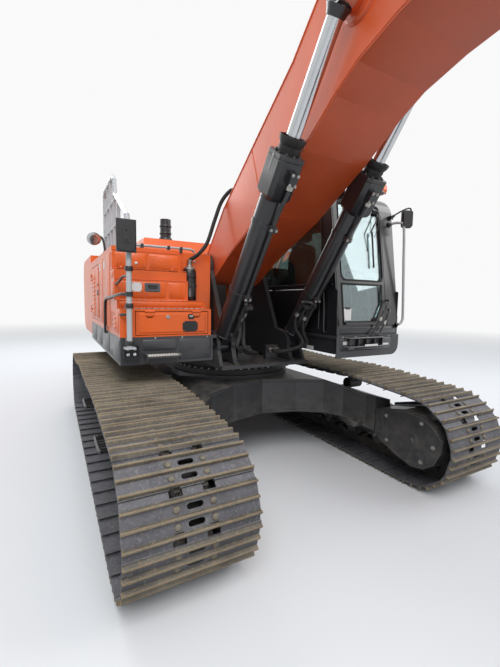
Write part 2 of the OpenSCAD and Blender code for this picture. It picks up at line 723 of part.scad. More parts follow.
// Windshield openings in (across, up), made smaller by g
module upper_pane(g) {
  polygon([
    [cab_in + 85 + g, 2005 + g], [cab_out - 215 - g, 2005 + g], [cab_out - 225 - g, 2740], [cab_out - 330, 2850 - g],
    [cab_in + 120, 2850 - g], [cab_in + 85 + g, 2800]
  ]);
}
module lower_pane(g) {
  polygon([
    [cab_in + 85 + g, 1550 + g], [cab_out - 370, 1550 + g], [cab_out - 250 - g, 1740], [cab_out - 225 - g, 1965 - g],
    [cab_in + 85 + g, 1965 - g]
  ]);
}
door_hinges = [1720, 2680];
module cab_shell() {
  mid = (cab_in + cab_out) / 2;
  color(charcoal) machine() difference() {
    side_plate(mid, cab_w) cab_outline(0);
    side_plate(mid, cab_w - 2 * cab_t) cab_outline(cab_t);
    side_plate(cab_out - cab_t / 2, cab_t + 2) door_outline(0);
    side_plate(cab_in + cab_t / 2, cab_t + 2) right_window(0);
    side_plate(cab_out - cab_t / 2, cab_t + 2) left_window(0);
    front_plate(cab_front - 260, cab_front + 50) upper_pane(0);
    front_plate(cab_front - 260, cab_front + 50) lower_pane(0);
    block([cab_in + 110, cab_out - 110], [cab_back - 10, cab_back + 100], [2100, 2850]);
  }
  color(orange) machine() for (z = door_hinges) fixed_hinge([cab_out, 120, z], 1, 1);
}
module cab_door() {
  color(orange) machine() {
    side_plate(cab_out - cab_t / 2, cab_t) difference() {
      door_outline(gap);
      door_window(0);
    }
    for (z = door_hinges) moving_hinge([cab_out, 120, z], 1, 1, 0);
  }
}
module door_glass() {
  color(glass) machine() side_plate(cab_out - cab_t / 2, 6) door_window(-seat);
}
module cab_glass() {
  color(glass) machine() {
    side_plate(cab_in + cab_t / 2, 6) right_window(seat);
    side_plate(cab_out - cab_t / 2, 6) left_window(seat);
    block([cab_in + 110 + seat, cab_out - 110 - seat], [cab_back + 18, cab_back + 24], [2100 + seat, 2850 - seat]);
    for (k = [0, 1]) intersection() {
      front_plate(cab_front - 260, cab_front + 50) union() {
        if (k == 0) upper_pane(seat);
        if (k == 1) lower_pane(seat);
      }
      side_plate((cab_in + cab_out) / 2, cab_w) difference() {
        cab_outline(18);
        cab_outline(24);
      }
    }
  }
}
// Cap over the cab's roof
module cab_roof() {
  color(orange) machine() side_plate((cab_in + cab_out - 60) / 2, cab_w - 180) polygon([
    [cab_back + 150, cab_z + seat], [cab_front - 155, cab_z + seat], [cab_front - 140, cab_z + 40],
    [cab_front - 150, cab_z + 95], [cab_front - 250, cab_z + 140], [cab_back + 230, cab_z + 150],
    [cab_back + 155, cab_z + 110]
  ]);
}
module seat() {
  mid = (cab_in + cab_out) / 2;
  color(charcoal) machine() {
    block([mid - 240, mid + 240], [200, 700], [1860, 1980]);
    block([mid - 230, mid + 230], [90, 210], [1940, 2560]);
    block([mid - 170, mid + 170], [250, 600], [cab_floor, 1861]);
    block([mid - 150, mid + 150], [110, 190], [2559, 2740]);
  }
}
module consoles() {
  mid = (cab_in + cab_out) / 2;
  color(skirt_grey) machine() for (s = [-1, 1]) {
    block([mid + s * 265, mid + s * 365], [150, 720], [1700, 2060]);
    block([mid + s * 275, mid + s * 355], [200, 500], [cab_floor, 1701]);
    bar([mid + s * 315, 660, 2055], [mid + s * 315, 690, 2260], 36);
  }
}
// Mirror on the front rail, and the lamps under the cap's front edge
module cab_fittings() {
  color(charcoal) machine() {
    block([rail_x - 110, rail_x + 50], [1000, 1030], [2150, 2420]);
    bar([rail_x, 950 + rail_d / 2 + seat, 2200], [rail_x, 1010, 2200], 30);
    for (x = [cab_in + 200, cab_out - 330])
      block([x - 60, x + 60], [cab_front - 225, cab_front - 165], [cab_z - 80, cab_z]);
  }
}

// Plates that carry a cylinder's eye: their thickness and middle, clear of the barrel
lug_t = 40;
function lug_off(barrel_d) = barrel_d / 2 + gap + 1 + lug_t / 2;

// Boom: a welded box with a forked tip
boom_top = [
  [0, 195], [570, 493], [1245, 715], [2020, 960], [2350, 1126], [2600, 1200], [2900, 1230],
  [3200, 1205], [3500, 1120], [5600, 469], [6420, 215]
];
module boom_outline() {
  polygon(concat([
    [6350, -190], [3300, 360], [2900, 400], [2600, 395], [2380, 345], [1985, 211], [1310, 40], [560, -65], [60, -190]
  ], boom_top));
}
module boom() {
  color(salmon) machine() difference() {
    union() {
      side_plate(0, boom_w) difference() {
        translate(foot) rotate(boom_rest) union() {
          boom_outline();
          circle(r = 195, $fn = 64);
          translate([boom_l, 0]) circle(r = 205, $fn = 64);
        }
      }
      both() shaft(on_boom(boom_eye), boom_w / 2 - 1, cyl_x - 55 - seat, 190, 48);
      for (x = [-1, 1]) side_plate(x * lug_off(arm_barrel_d), lug_t) translate(foot) rotate(boom_rest) difference() {
        union() {
          translate(arm_cyl_foot) circle(r = 130, $fn = 48);
          polygon([[2950, 1200], [3220, 1380], [3480, 1380], [3760, 1030]]);
        }
        translate([0, seat * 1.1]) boom_outline();
      }
    }
    shaft(foot, -400, 400, pin_d + 2 * play, 64);
    shaft(tip, -400, 400, pin_d + 2 * play, 64);
    shaft(on_boom(arm_cyl_foot), -220, 220, 100 + 2 * play, 48);
    side_plate(0, arm_w + 2 * gap) translate(foot) rotate(boom_rest) union() {
      translate([boom_l, 0]) circle(r = 620, $fn = 64);
    }
  }
  color(charcoal) machine() {
    shaft(tip, -boom_w / 2 - 12, boom_w / 2 + 12, pin_d, 64);
    both() shaft(on_boom(arm_cyl_foot), 0, lug_off(arm_barrel_d) + lug_t / 2 + 15, 100, 48);
  }
}
// Steel lines in clamps along the boom's top
line_h = 24;
module boom_lines() {
  path = [for (i = [2:9]) let (
    a = heading(boom_top[i - 1], boom_top[i + 1]) + 90,
    p = on_boom(boom_top[i] + line_h * 1.02 * [cos(a), sin(a)])
  ) p];
  color(charcoal) machine() {
    for (x = [-230, -180, 180, 230]) tube_run([for (p = path) [x, p[0], p[1]]], 30, 12);
    for (i = [2, 4, 8]) for (k = [0.3, 0.75]) {
      a = boom_top[i];
      b = boom_top[i + 1];
      both() side_plate(205, 100) translate(on_boom(a + (b - a) * k)) rotate(heading(a, b) + boom_rest)
        translate([-20, seat]) square([40, 2 * line_h]);
    }
  }
}
// A cylinder between two points in (forward, up) at x: eye, barrel and gland
module barrel(a, b, x, d, l, eye_w, eye_d, bore) {
  h = heading(a, b);
  machine() {
    difference() {
      union() {
        shaft(a, x - eye_w / 2, x + eye_w / 2, eye_d, 48);
        side_plate(x, eye_w) translate(a) rotate(h) translate([0, -eye_d * 0.4]) square([eye_d * 0.95, eye_d * 0.8]);
      }
      shaft(a, x - eye_w, x + eye_w, bore + 2 * play, 48);
    }
    translate([x, -a[0], a[1]]) rotate([90 - h, 0, 0]) difference() {
      union() {
        translate([0, 0, eye_d * 0.9]) cylinder(d = d, h = l - eye_d * 0.9 - 130, $fn = 64);
        translate([0, 0, l - 140]) cylinder(d = d + 24, h = 140, $fn = 64);
      }
      translate([0, 0, eye_d]) cylinder(d = rod_d + 2 * play, h = l, $fn = 64);
    }
  }
}
module rod(a, b, x, start, eye_w, eye_d) {
  h = heading(a, b);
  l = norm(b - a);
  machine() {
    shaft(b, x - eye_w / 2, x + eye_w / 2, eye_d, 48);
    translate([x, -a[0], a[1]]) rotate([90 - h, 0, 0])
      translate([0, 0, start]) cylinder(d = rod_d, h = l - start - eye_d * 0.4, $fn = 64);
  }
}
boom_cyl_l = 1960;
module boom_cylinder(s) {
  color(charcoal) barrel(cyl_foot, on_boom(boom_eye), s * cyl_x, boom_barrel_d, boom_cyl_l, 100, 180, 90);
}
module boom_rod(s) {
  color(chrome) rod(cyl_foot, on_boom(boom_eye), s * cyl_x, 1150, 110, 190);
}
module boom_cylinder_left() { boom_cylinder(1); }
module boom_cylinder_right() { boom_cylinder(-1); }
module boom_rod_left() { boom_rod(1); }
module boom_rod_right() { boom_rod(-1); }

arm_cyl_l = 2420;
module arm_cylinder() {
  color(charcoal) barrel(on_boom(arm_cyl_foot), on_arm(arm_eye), 0, arm_barrel_d, arm_cyl_l, 170, 200, 100);
}
module arm_rod() {
  color(chrome) rod(on_boom(arm_cyl_foot), on_arm(arm_eye), 0, 1700, 130, 200);
}

// Arm: a welded box, deep at its pivot, with a clevis for its cylinder
nose_r = 88;
module arm_outline() {
  polygon([
    [-880, 265], [-250, -150], [0, -195], [250, -295], [900, -240], [2000, -165], [arm_l - 500, -120],
    [arm_l, -nose_r], [arm_l, 62], [arm_l - 500, 70], [arm_l - 720, 108], [1900, 148], [1500, 232],
    [600, 385], [250, 430], [-790, 490]
  ]);
}
module arm() {
  color(salmon) machine() {
    difference() {
      union() {
        side_plate(0, arm_w) translate(tip) rotate(-90) union() {
          arm_outline();
          circle(r = 200, $fn = 64);
          translate([arm_l, 0]) circle(r = nose_r, $fn = 64);
          translate(rocker_pin) circle(r = 88, $fn = 64);
          translate(arm_eye) circle(r = 125, $fn = 64);
        }
        for (x = [-1, 1]) side_plate(x * lug_off(bucket_barrel_d), lug_t) translate(tip) rotate(-90) difference() {
          union() {
            translate(bucket_cyl_foot) circle(r = 115, $fn = 48);
            polygon([[250, 400], [330, 640], [540, 680], [800, 300]]);
          }
          translate([0, seat * 1.1]) arm_outline();
        }
      }
      shaft(tip, -300, 300, pin_d + 2 * play, 64);
      shaft(on_arm(bucket_pin), -300, 300, 95 + 2 * play, 64);
      shaft(on_arm(rocker_pin), -300, 300, 80 + 2 * play, 64);
      shaft(on_arm(bucket_cyl_foot), -300, 300, 90 + 2 * play, 48);
      side_plate(0, 150) translate(tip) rotate(-90) union() {
        translate(arm_eye) circle(r = 260, $fn = 48);
        translate([-1100, -400]) square([640, 1000]);
      }
    }
  }
  color(charcoal) machine() {
    shaft(on_arm(rocker_pin), -arm_w / 2 - 70, arm_w / 2 + 70, 80, 48);
    both() shaft(on_arm(bucket_cyl_foot), 0, lug_off(bucket_barrel_d) + lug_t / 2 + 15, 90, 48);
    both() shaft(on_arm(arm_eye), 75, arm_w / 2 + 15, 100, 48);
  }
}
bucket_cyl_l = 1560;
module bucket_cylinder() {
  color(charcoal) barrel(on_arm(bucket_cyl_foot), on_arm(rocker_eye), 0, bucket_barrel_d, bucket_cyl_l, 150, 180, 90);
}
module bucket_rod() {
  color(chrome) rod(on_arm(bucket_cyl_foot), on_arm(rocker_eye), 0, 900, 110, 170);
}

// Rocker: two plates outside the arm, with the pin that the link hangs on
module rocker() {
  color(cast_brown) machine() both() difference() {
    side_plate(arm_w / 2 + gap + 25, 44) hull() {
      translate(on_arm(rocker_pin)) circle(r = 90, $fn = 48);
      translate(on_arm(rocker_eye)) circle(r = 90, $fn = 48);
    }
    shaft(on_arm(rocker_pin), 0, 400, 80 + 2 * play, 48);
    shaft(on_arm(rocker_eye), 0, 400, 85 + 2 * play, 48);
  }
  color(charcoal) machine() both() shaft(on_arm(rocker_eye), 62, arm_w / 2 + gap + 60, 85, 48);
}
// Link: an H of two plates and a bridge, from the rocker's pin to the bucket's ears
module bucket_link() {
  a = on_arm(rocker_eye);
  b = on_arm(link_pin);
  color(cast_brown) machine() {
    both() difference() {
      side_plate(122, 100) union() {
        translate(a) circle(r = 85, $fn = 48);
        translate(b) circle(r = 85, $fn = 48);
        translate(a) rotate(heading(a, b)) translate([0, -46]) square([link_l, 92]);
      }
      shaft(a, 0, 400, 85 + 2 * play, 48);
    }
    translate([0, -a[0], a[1]]) rotate([-heading(a, b), 0, 0]) translate([-73, -link_l * 0.66, -35])
      cube([146, link_l * 0.3, 70]);
  }
}

// Bucket: wrapper, side plates, lip and ears
ear_gap = arm_w / 2 + gap;
ear_t = 50;
bucket_o = on_arm(bucket_pin);
heel = [-300, -172];
heel_r = 540;
module bucket() {
  color(charcoal) machine() {
    both() side_plate(bucket_w / 2 - bucket_t / 2, bucket_t) translate(bucket_o) polygon(concat(
      [[-1100, -699], [-300, -711]], arc(heel, heel_r - 1, -90, 10, 12), [[60, -125], [-90, -150], [-330, -330], [-980, -560]]
    ));
    side_plate(0, bucket_w - 2 * bucket_t) translate(bucket_o) polygon(concat(
      [[-1120, -700], [-300, -712]], arc(heel, heel_r, -90, 10, 12), [[60, -118], [-90, -145], [-100, -185]],
      [[50, -160], [140, -135]], arc(heel, heel_r - 30, 0, -90, 12), [[-1120, -672]]
    ));
    side_plate(0, bucket_w) translate(bucket_o) polygon([[-1190, -675], [-1100, -712], [-900, -712], [-900, -672]]);
    both() difference() {
      side_plate(ear_gap + ear_t / 2, ear_t) union() {
        translate(bucket_o) circle(r = 122, $fn = 64);
        translate(on_arm(link_pin)) circle(r = 105, $fn = 64);
        translate(bucket_o) polygon([
          [-121, -10], [0, 121], [470, 168], [586, 40], [420, -110], [238, -172], [232, -80], [60, -119], [-90, -146]
        ]);
      }
      shaft(bucket_o, 0, 400, 95 + 2 * play, 64);
    }
    both() shaft(on_arm(link_pin), ear_gap - 18, ear_gap + ear_t + 20, 150, 48);
  }
  color(steel) machine() shaft(bucket_o, -ear_gap - ear_t - 20, ear_gap + ear_t + 20, 95, 64);
}
module bucket_teeth() {
  color(steel) machine() for (i = [0:tooth_count - 1]) {
    x = -bucket_w / 2 + 90 + i * (bucket_w - 180) / (tooth_count - 1);
    side_plate(x, 90) translate(bucket_o) polygon([
      [-1190 - seat, -650], [-1190 - seat, -708], [-1260, -716], [-1420, -694], [-1420, -686], [-1260, -640]
    ]);
  }
}

car_body();
track_frames();
track_left();
track_right();
idlers();
sprockets();
rollers();
swing_bearing();
main_frame();
deck();
counterweight();
engine_hood();
engine_block();
left_housing();
right_housing();
left_door();
right_door();
tool_box();
tool_box_door();
handrails();
exhaust();
cab_shell();
cab_roof();
cab_door();
cab_glass();
door_glass();
seat();
consoles();
cab_fittings();
boom();
boom_lines();
boom_cylinder_left();
boom_cylinder_right();
boom_rod_left();
boom_rod_right();
arm();
arm_cylinder();
arm_rod();
bucket_cylinder();
bucket_rod();
rocker();
bucket_link();
bucket();
bucket_teeth();
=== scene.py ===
"""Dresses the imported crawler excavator: finishes, tracks, cab, hydraulics and small fittings."""

import json
import logging
import math
from collections.abc import Callable
from dataclasses import dataclass, field
from enum import IntEnum

import bmesh
import bpy
from mathutils import Matrix, Vector

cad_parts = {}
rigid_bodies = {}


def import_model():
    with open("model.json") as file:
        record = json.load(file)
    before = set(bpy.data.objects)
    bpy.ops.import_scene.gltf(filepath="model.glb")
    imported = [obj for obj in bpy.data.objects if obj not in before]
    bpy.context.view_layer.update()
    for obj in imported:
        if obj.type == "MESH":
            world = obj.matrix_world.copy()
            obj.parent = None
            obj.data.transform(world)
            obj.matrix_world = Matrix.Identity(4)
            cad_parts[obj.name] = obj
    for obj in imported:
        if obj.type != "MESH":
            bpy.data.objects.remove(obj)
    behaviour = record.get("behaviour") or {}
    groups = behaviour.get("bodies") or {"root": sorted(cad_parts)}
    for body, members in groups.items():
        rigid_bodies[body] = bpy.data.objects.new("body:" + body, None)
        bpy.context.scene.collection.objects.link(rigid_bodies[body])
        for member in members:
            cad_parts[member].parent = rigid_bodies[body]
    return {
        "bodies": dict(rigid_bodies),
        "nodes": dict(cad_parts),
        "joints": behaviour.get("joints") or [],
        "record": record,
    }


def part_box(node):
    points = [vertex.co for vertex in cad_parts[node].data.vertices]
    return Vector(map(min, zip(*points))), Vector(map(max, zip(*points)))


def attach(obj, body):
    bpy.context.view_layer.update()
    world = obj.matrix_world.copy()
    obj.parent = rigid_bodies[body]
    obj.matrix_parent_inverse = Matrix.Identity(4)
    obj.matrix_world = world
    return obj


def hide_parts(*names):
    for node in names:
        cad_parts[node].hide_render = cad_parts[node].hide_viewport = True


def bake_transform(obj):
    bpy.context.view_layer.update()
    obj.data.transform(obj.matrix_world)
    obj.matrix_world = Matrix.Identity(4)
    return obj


LOG = logging.getLogger("crawler_excavator")

# Where the swing axis stands in the shared frame, and a millimetre, both in metres
SWING_Y = 1.7866
MM = 0.001
# The boom as parked: its turn, its foot pin in (forward, up), and both lengths in mm
BOOM_REST = math.radians(16)
BOOM_FOOT = (50.0, 2150.0)
BOOM_L = 6500.0
ARM_L = 3200.0

Point2 = tuple[float, float]
Point3 = tuple[float, float, float]
Colour = tuple[float, float, float, float]
Node = bpy.types.Node
Tree = bpy.types.NodeTree
Placer = Callable[[float, float, float], Point3]
# Directions: ahead, up and down
AHEAD: Point3 = (0, 1, 0)
UP: Point3 = (0, 0, 1)
DOWN: Point3 = (0, 0, -1)


class Side(IntEnum):
    """A side of the machine, as the sign of its places across."""
    LEFT = 1
    RIGHT = -1

    @property
    def tag(self) -> str:
        """The side's name in those of the pieces."""
        return self.name.lower()


def at(x: float, f: float, z: float) -> Vector:
    """Returns the row-frame point of a place in mm: across, ahead of the swing axis, up."""
    return Vector((x * MM, SWING_Y - f * MM, z * MM))


def turned(p: Point2, angle: float) -> Point2:
    """Returns p turned by angle in radians about the origin."""
    c, s = math.cos(angle), math.sin(angle)
    return (p[0] * c - p[1] * s, p[0] * s + p[1] * c)


def on_boom(p: Point2) -> Point2:
    """Returns (forward, up) of a point given along and over the boom's pin line."""
    q = turned(p, BOOM_REST)
    return (BOOM_FOOT[0] + q[0], BOOM_FOOT[1] + q[1])


BOOM_TIP = on_boom((BOOM_L, 0.0))


def on_arm(p: Point2) -> Point2:
    """Returns (forward, up) of a point given below and ahead of the arm's pivot."""
    return (BOOM_TIP[0] + p[1], BOOM_TIP[1] - p[0])


def linear(code: str, times: float = 1.0, lift: float = 0.0) -> Colour:
    """Turns an sRGB hex colour into a linear one, made darker or lighter.

    Args:
        code: Six hex digits with a leading hash.
        times: What its linear parts are multiplied by.
        lift: What is added to them then.

    Returns:
        Red, green, blue and alpha for a shader socket.
    """
    parts = [int(code[i:i + 2], 16) / 255 for i in (1, 3, 5)]
    flat = [c / 12.92 if c <= 0.04045 else ((c + 0.055) / 1.055) ** 2.4 for c in parts]
    return (*[min(1.0, c * times + lift) for c in flat], 1.0)


def add_node(tree: Tree, kind: str, settings: dict | None = None,
             links: dict | None = None) -> Node:
    """Adds one node with its settings and links.

    Args:
        tree: The material's or world's node tree.
        kind: The node's bl_idname without the ShaderNode prefix.
        settings: Attribute or input names (or input numbers) and their values.
        links: Input names or numbers and the output sockets that feed them.

    Returns:
        The new node.
    """
    made = tree.nodes.new("ShaderNode" + kind)
    for key, value in (settings or {}).items():
        if isinstance(key, str) and hasattr(made, key):
            setattr(made, key, value)
        else:
            made.inputs[key].default_value = value
    for key, source in (links or {}).items():
        tree.links.new(source, made.inputs[key])
    return made


# Places of the colour and value sockets on a Mix node set to RGBA
MIX_A, MIX_B, MIX_OUT = 6, 7, 2


def near_edges(tree: Tree, mm: float, limits: Point2, most: float = 1.0) -> tuple[Node, Node]:
    """Finds the edges of a piece.

    Args:
        tree: The material's node tree.
        mm: How wide the edges are.
        limits: How alike the rounded and the true normal are, off and on an edge.
        most: The value on an edge.

    Returns:
        The node of the rounded normal, and that of the value.
    """
    edge = add_node(tree, "Bevel", {"samples": 4, "Radius": mm * MM})
    flat = add_node(tree, "NewGeometry")
    apart = add_node(tree, "VectorMath", {"operation": "DOT_PRODUCT"},
                     {0: edge.outputs[0], 1: flat.outputs["Normal"]})
    return edge, add_node(tree, "MapRange", {"From Min": limits[0], "From Max": limits[1],
                                             "To Max": most}, {"Value": apart.outputs["Value"]})


def seen_rays(tree: Tree) -> Node:
    """Finds the rays that carry what the camera sees, also in metal and through glass.

    Args:
        tree: The material's or world's node tree.

    Returns:
        A node that is 1 for them, 0 for others.
    """
    rays = add_node(tree, "LightPath")
    first = add_node(tree, "Math", {"operation": "MAXIMUM"},
                     {0: rays.outputs["Is Camera Ray"], 1: rays.outputs["Is Glossy Ray"]})
    return add_node(tree, "Math", {"operation": "MAXIMUM"},
                    {0: first.outputs[0], 1: rays.outputs["Is Transmission Ray"]})


def new_material(name: str) -> tuple[bpy.types.Material, Tree]:
    """Makes a material without nodes.

    Args:
        name: The material's name.

    Returns:
        The new material and its node tree.
    """
    made = bpy.data.materials.new(name)
    made.use_nodes = True
    made.node_tree.nodes.clear()
    return made, made.node_tree


@dataclass(frozen=True)
class Finish:
    """One finish of the machine, made once as a material, and its usual slot."""
    name: str
    slot: str

    def material(self) -> bpy.types.Material:
        """Finds the finish's material, or makes it at its first use.

        Returns:
            The material.
        """
        found = bpy.data.materials.get(self.name)
        if found:
            return found
        made, tree = new_material(self.name)
        add_node(tree, "OutputMaterial", links={"Surface": self.shader(tree).outputs[0]})
        return made

    def shader(self, tree: Tree) -> Node:
        """Builds the finish's nodes.

        Args:
            tree: The material's node tree.

        Returns:
            The last shader.
        """
        raise NotImplementedError


@dataclass(frozen=True)
class Enamel(Finish):
    """Two-pack enamel sprayed on steel plate.

    It shows a fine orange peel, faint mottling, pale dust on faces that look up and a
    little bare primer along the edges.
    """
    colour: str = "#E2662B"
    dust: str = "#B9AFA0"
    dust_amount: float = 0.35
    roughness: float = 0.38
    coat: float = 0.25
    wear: float = 0.35
    primer: str = "#4A4744"
    # Orange peel on machine paint is 2-3 mm across, drawn at 5 mm so that it shows
    peel_mm: float = 5.0
    edge_mm: float = 4.0
    low_dust_m: float = 0.0

    def shader(self, tree: Tree) -> Node:
        """Builds the finish's nodes.

        Args:
            tree: The material's node tree.

        Returns:
            The last shader.
        """
        place = add_node(tree, "TexCoord")
        mottle = add_node(tree, "TexNoise", {"Scale": 2.3, "Detail": 5.0, "Roughness": 0.6},
                          {"Vector": place.outputs["Object"]})
        tones = add_node(tree, "ValToRGB", links={"Fac": mottle.outputs["Fac"]})
        ramp = tones.color_ramp
        ramp.elements[0].position, ramp.elements[1].position = 0.3, 0.72
        ramp.elements[0].color = linear(self.colour, 0.88)
        ramp.elements[1].color = linear(self.colour, 1.06)
        up = add_node(tree, "SeparateXYZ", links={"Vector": place.outputs["Normal"]})
        facing = add_node(tree, "MapRange", {"From Min": 0.35, "From Max": 1.0},
                          {"Value": up.outputs["Z"]})
        settled = add_node(tree, "TexNoise", {"Scale": 9.0, "Detail": 8.0, "Roughness": 0.72},
                           {"Vector": place.outputs["Object"]})
        patch = add_node(tree, "MapRange", {"From Min": 0.38, "From Max": 0.68},
                         {"Value": settled.outputs["Fac"]})
        dusty = add_node(tree, "Math", {"operation": "MULTIPLY"},
                         {0: facing.outputs[0], 1: patch.outputs[0]})
        height = add_node(tree, "SeparateXYZ", links={"Vector": place.outputs["Object"]})
        low = add_node(tree, "MapRange",
                       {"From Min": self.low_dust_m + 0.001, "From Max": self.low_dust_m * 0.25,
                        "To Max": 0.8 if self.low_dust_m else 0.0},
                       {"Value": height.outputs["Z"]})
        low_patch = add_node(tree, "Math", {"operation": "MULTIPLY"},
                             {0: low.outputs[0], 1: patch.outputs[0]})
        either = add_node(tree, "Math", {"operation": "MAXIMUM"},
                          {0: dusty.outputs[0], 1: low_patch.outputs[0]})
        share = add_node(tree, "Math", {"operation": "MULTIPLY", 1: self.dust_amount},
                         {0: either.outputs[0]})
        dusted = add_node(tree, "Mix", {"data_type": "RGBA", MIX_B: linear(self.dust)},
                          {0: share.outputs[0], MIX_A: tones.outputs["Color"]})
        edge, near = near_edges(tree, self.edge_mm, (0.995, 0.88))
        chips = add_node(tree, "TexNoise", {"Scale": 38.0, "Detail": 6.0, "Roughness": 0.75},
                         {"Vector": place.outputs["Object"]})
        chipped = add_node(tree, "MapRange", {"From Min": 0.56, "From Max": 0.62},
                           {"Value": chips.outputs["Fac"]})
        bare = add_node(tree, "Math", {"operation": "MULTIPLY"},
                        {0: near.outputs[0], 1: chipped.outputs[0]})
        worn = add_node(tree, "Math", {"operation": "MULTIPLY", 1: self.wear},
                        {0: bare.outputs[0]})
        colour = add_node(tree, "Mix", {"data_type": "RGBA", MIX_B: linear(self.primer)},
                          {0: worn.outputs[0], MIX_A: dusted.outputs[MIX_OUT]})
        matt = add_node(tree, "MapRange",
                        {"To Min": self.roughness, "To Max": min(0.95, self.roughness + 0.4)},
                        {"Value": share.outputs[0]})
        peel = add_node(tree, "TexNoise", {"Scale": 1 / (self.peel_mm * MM), "Detail": 2.0},
                        {"Vector": place.outputs["Object"]})
        relief = add_node(tree, "Bump", {"Strength": 0.06, "Distance": 0.001},
                          {"Height": peel.outputs["Fac"], "Normal": edge.outputs[0]})
        return add_node(tree, "BsdfPrincipled",
                        {"IOR": 1.5, "Coat Weight": self.coat, "Coat Roughness": 0.12},
                        {"Base Color": colour.outputs[MIX_OUT], "Roughness": matt.outputs[0],
                         "Normal": relief.outputs[0]})


@dataclass(frozen=True)
class ShoeSteel(Finish):
    """Rolled track-shoe steel: grey scale, paler where rubbed, dried grit and a little rust."""
    scale: str = "#535357"
    rubbed: str = "#747479"
    grit: str = "#A8A39A"
    rust: str = "#6B5345"
    tip: str = "#A39C90"
    grit_share: float = 0.35
    rust_share: float = 0.3
    tip_share: float = 0.35
    tip_mm: float = 5.0

    def shader(self, tree: Tree) -> Node:
        """Builds the finish's nodes.

        Args:
            tree: The material's node tree.

        Returns:
            The last shader.
        """
        place = add_node(tree, "TexCoord")
        broad = add_node(tree, "TexNoise", {"Scale": 5.0, "Detail": 8.0, "Roughness": 0.65},
                         {"Vector": place.outputs["Object"]})
        tone = add_node(tree, "ValToRGB", links={"Fac": broad.outputs["Fac"]})
        ramp = tone.color_ramp
        ramp.elements[0].position, ramp.elements[1].position = 0.25, 0.8
        ramp.elements[0].color = linear(self.scale)
        ramp.elements[1].color = linear(self.rubbed)
        fine = add_node(tree, "TexNoise", {"Scale": 55.0, "Detail": 8.0, "Roughness": 0.75},
                        {"Vector": place.outputs["Object"]})
        # Grit is 2-6 mm, so its patches are drawn at about 20 mm
        gritty = add_node(tree, "MapRange", {"From Min": 0.54, "From Max": 0.66,
                                             "To Max": self.grit_share},
                          {"Value": fine.outputs["Fac"]})
        sandy = add_node(tree, "Mix", {"data_type": "RGBA", MIX_B: linear(self.grit)},
                         {0: gritty.outputs[0], MIX_A: tone.outputs["Color"]})
        edge, near = near_edges(tree, self.tip_mm, (0.99, 0.85), self.tip_share)
        bright = add_node(tree, "Mix", {"data_type": "RGBA", MIX_B: linear(self.tip)},
                          {0: near.outputs[0], MIX_A: sandy.outputs[MIX_OUT]})
        spots = add_node(tree, "TexNoise", {"noise_dimensions": "4D", "Scale": 14.0,
                                            "Detail": 7.0, "W": 3.0, "Roughness": 0.7},
                         {"Vector": place.outputs["Object"]})
        rusty = add_node(tree, "MapRange", {"From Min": 0.58, "From Max": 0.7,
                                            "To Max": self.rust_share},
                         {"Value": spots.outputs["Fac"]})
        colour = add_node(tree, "Mix", {"data_type": "RGBA", MIX_B: linear(self.rust)},
                          {0: rusty.outputs[0], MIX_A: bright.outputs[MIX_OUT]})
        rough = add_node(tree, "MapRange", {"To Min": 0.48, "To Max": 0.85},
                         {"Value": fine.outputs["Fac"]})
        metal = add_node(tree, "MapRange", {"From Min": 0.45, "From Max": 0.62,
                                            "To Min": 0.55, "To Max": 0.0},
                         {"Value": fine.outputs["Fac"]})
        relief = add_node(tree, "Bump", {"Strength": 0.35, "Distance": 0.002},
                          {"Height": fine.outputs["Fac"], "Normal": edge.outputs[0]})
        return add_node(tree, "BsdfPrincipled", {},
                        {"Base Color": colour.outputs[MIX_OUT], "Roughness": rough.outputs[0],
                         "Metallic": metal.outputs[0], "Normal": relief.outputs[0]})


@dataclass(frozen=True)
class Chrome(Finish):
    """Hard chrome ground on a steel rod: mirror bright, with an oil film."""
    colour: str = "#C9CBCD"
    roughness: float = 0.1

    def shader(self, tree: Tree) -> Node:
        """Builds the finish's nodes.

        Args:
            tree: The material's node tree.

        Returns:
            The last shader.
        """
        place = add_node(tree, "TexCoord")
        film = add_node(tree, "TexNoise", {"Scale": 9.0, "Detail": 6.0},
                        {"Vector": place.outputs["Object"]})
        rough = add_node(tree, "MapRange",
                         {"From Min": 0.3, "From Max": 0.7, "To Min": self.roughness,
                          "To Max": self.roughness + 0.16}, {"Value": film.outputs["Fac"]})
        tint = add_node(tree, "ValToRGB", links={"Fac": film.outputs["Fac"]})
        tint.color_ramp.elements[0].color = linear(self.colour, 0.82)
        tint.color_ramp.elements[1].color = linear(self.colour)
        return add_node(tree, "BsdfPrincipled", {"Metallic": 1.0},
                        {"Base Color": tint.outputs["Color"], "Roughness": rough.outputs[0]})


@dataclass(frozen=True)
class Plated(Finish):
    """Zinc-plated steel: pale satin metal with a crystalline mottle."""
    colour: str = "#B4B2AC"
    roughness: float = 0.34

    def shader(self, tree: Tree) -> Node:
        """Builds the finish's nodes.

        Args:
            tree: The material's node tree.

        Returns:
            The last shader.
        """
        place = add_node(tree, "TexCoord")
        grains = add_node(tree, "TexVoronoi", {"Scale": 160.0},
                          {"Vector": place.outputs["Object"]})
        tint = add_node(tree, "ValToRGB", links={"Fac": grains.outputs["Distance"]})
        tint.color_ramp.elements[0].color = linear(self.colour)
        tint.color_ramp.elements[1].color = linear(self.colour, 0.7)
        rough = add_node(tree, "MapRange",
                         {"To Min": self.roughness, "To Max": self.roughness + 0.2},
                         {"Value": grains.outputs["Distance"]})
        return add_node(tree, "BsdfPrincipled", {"Metallic": 0.9},
                        {"Base Color": tint.outputs["Color"], "Roughness": rough.outputs[0]})


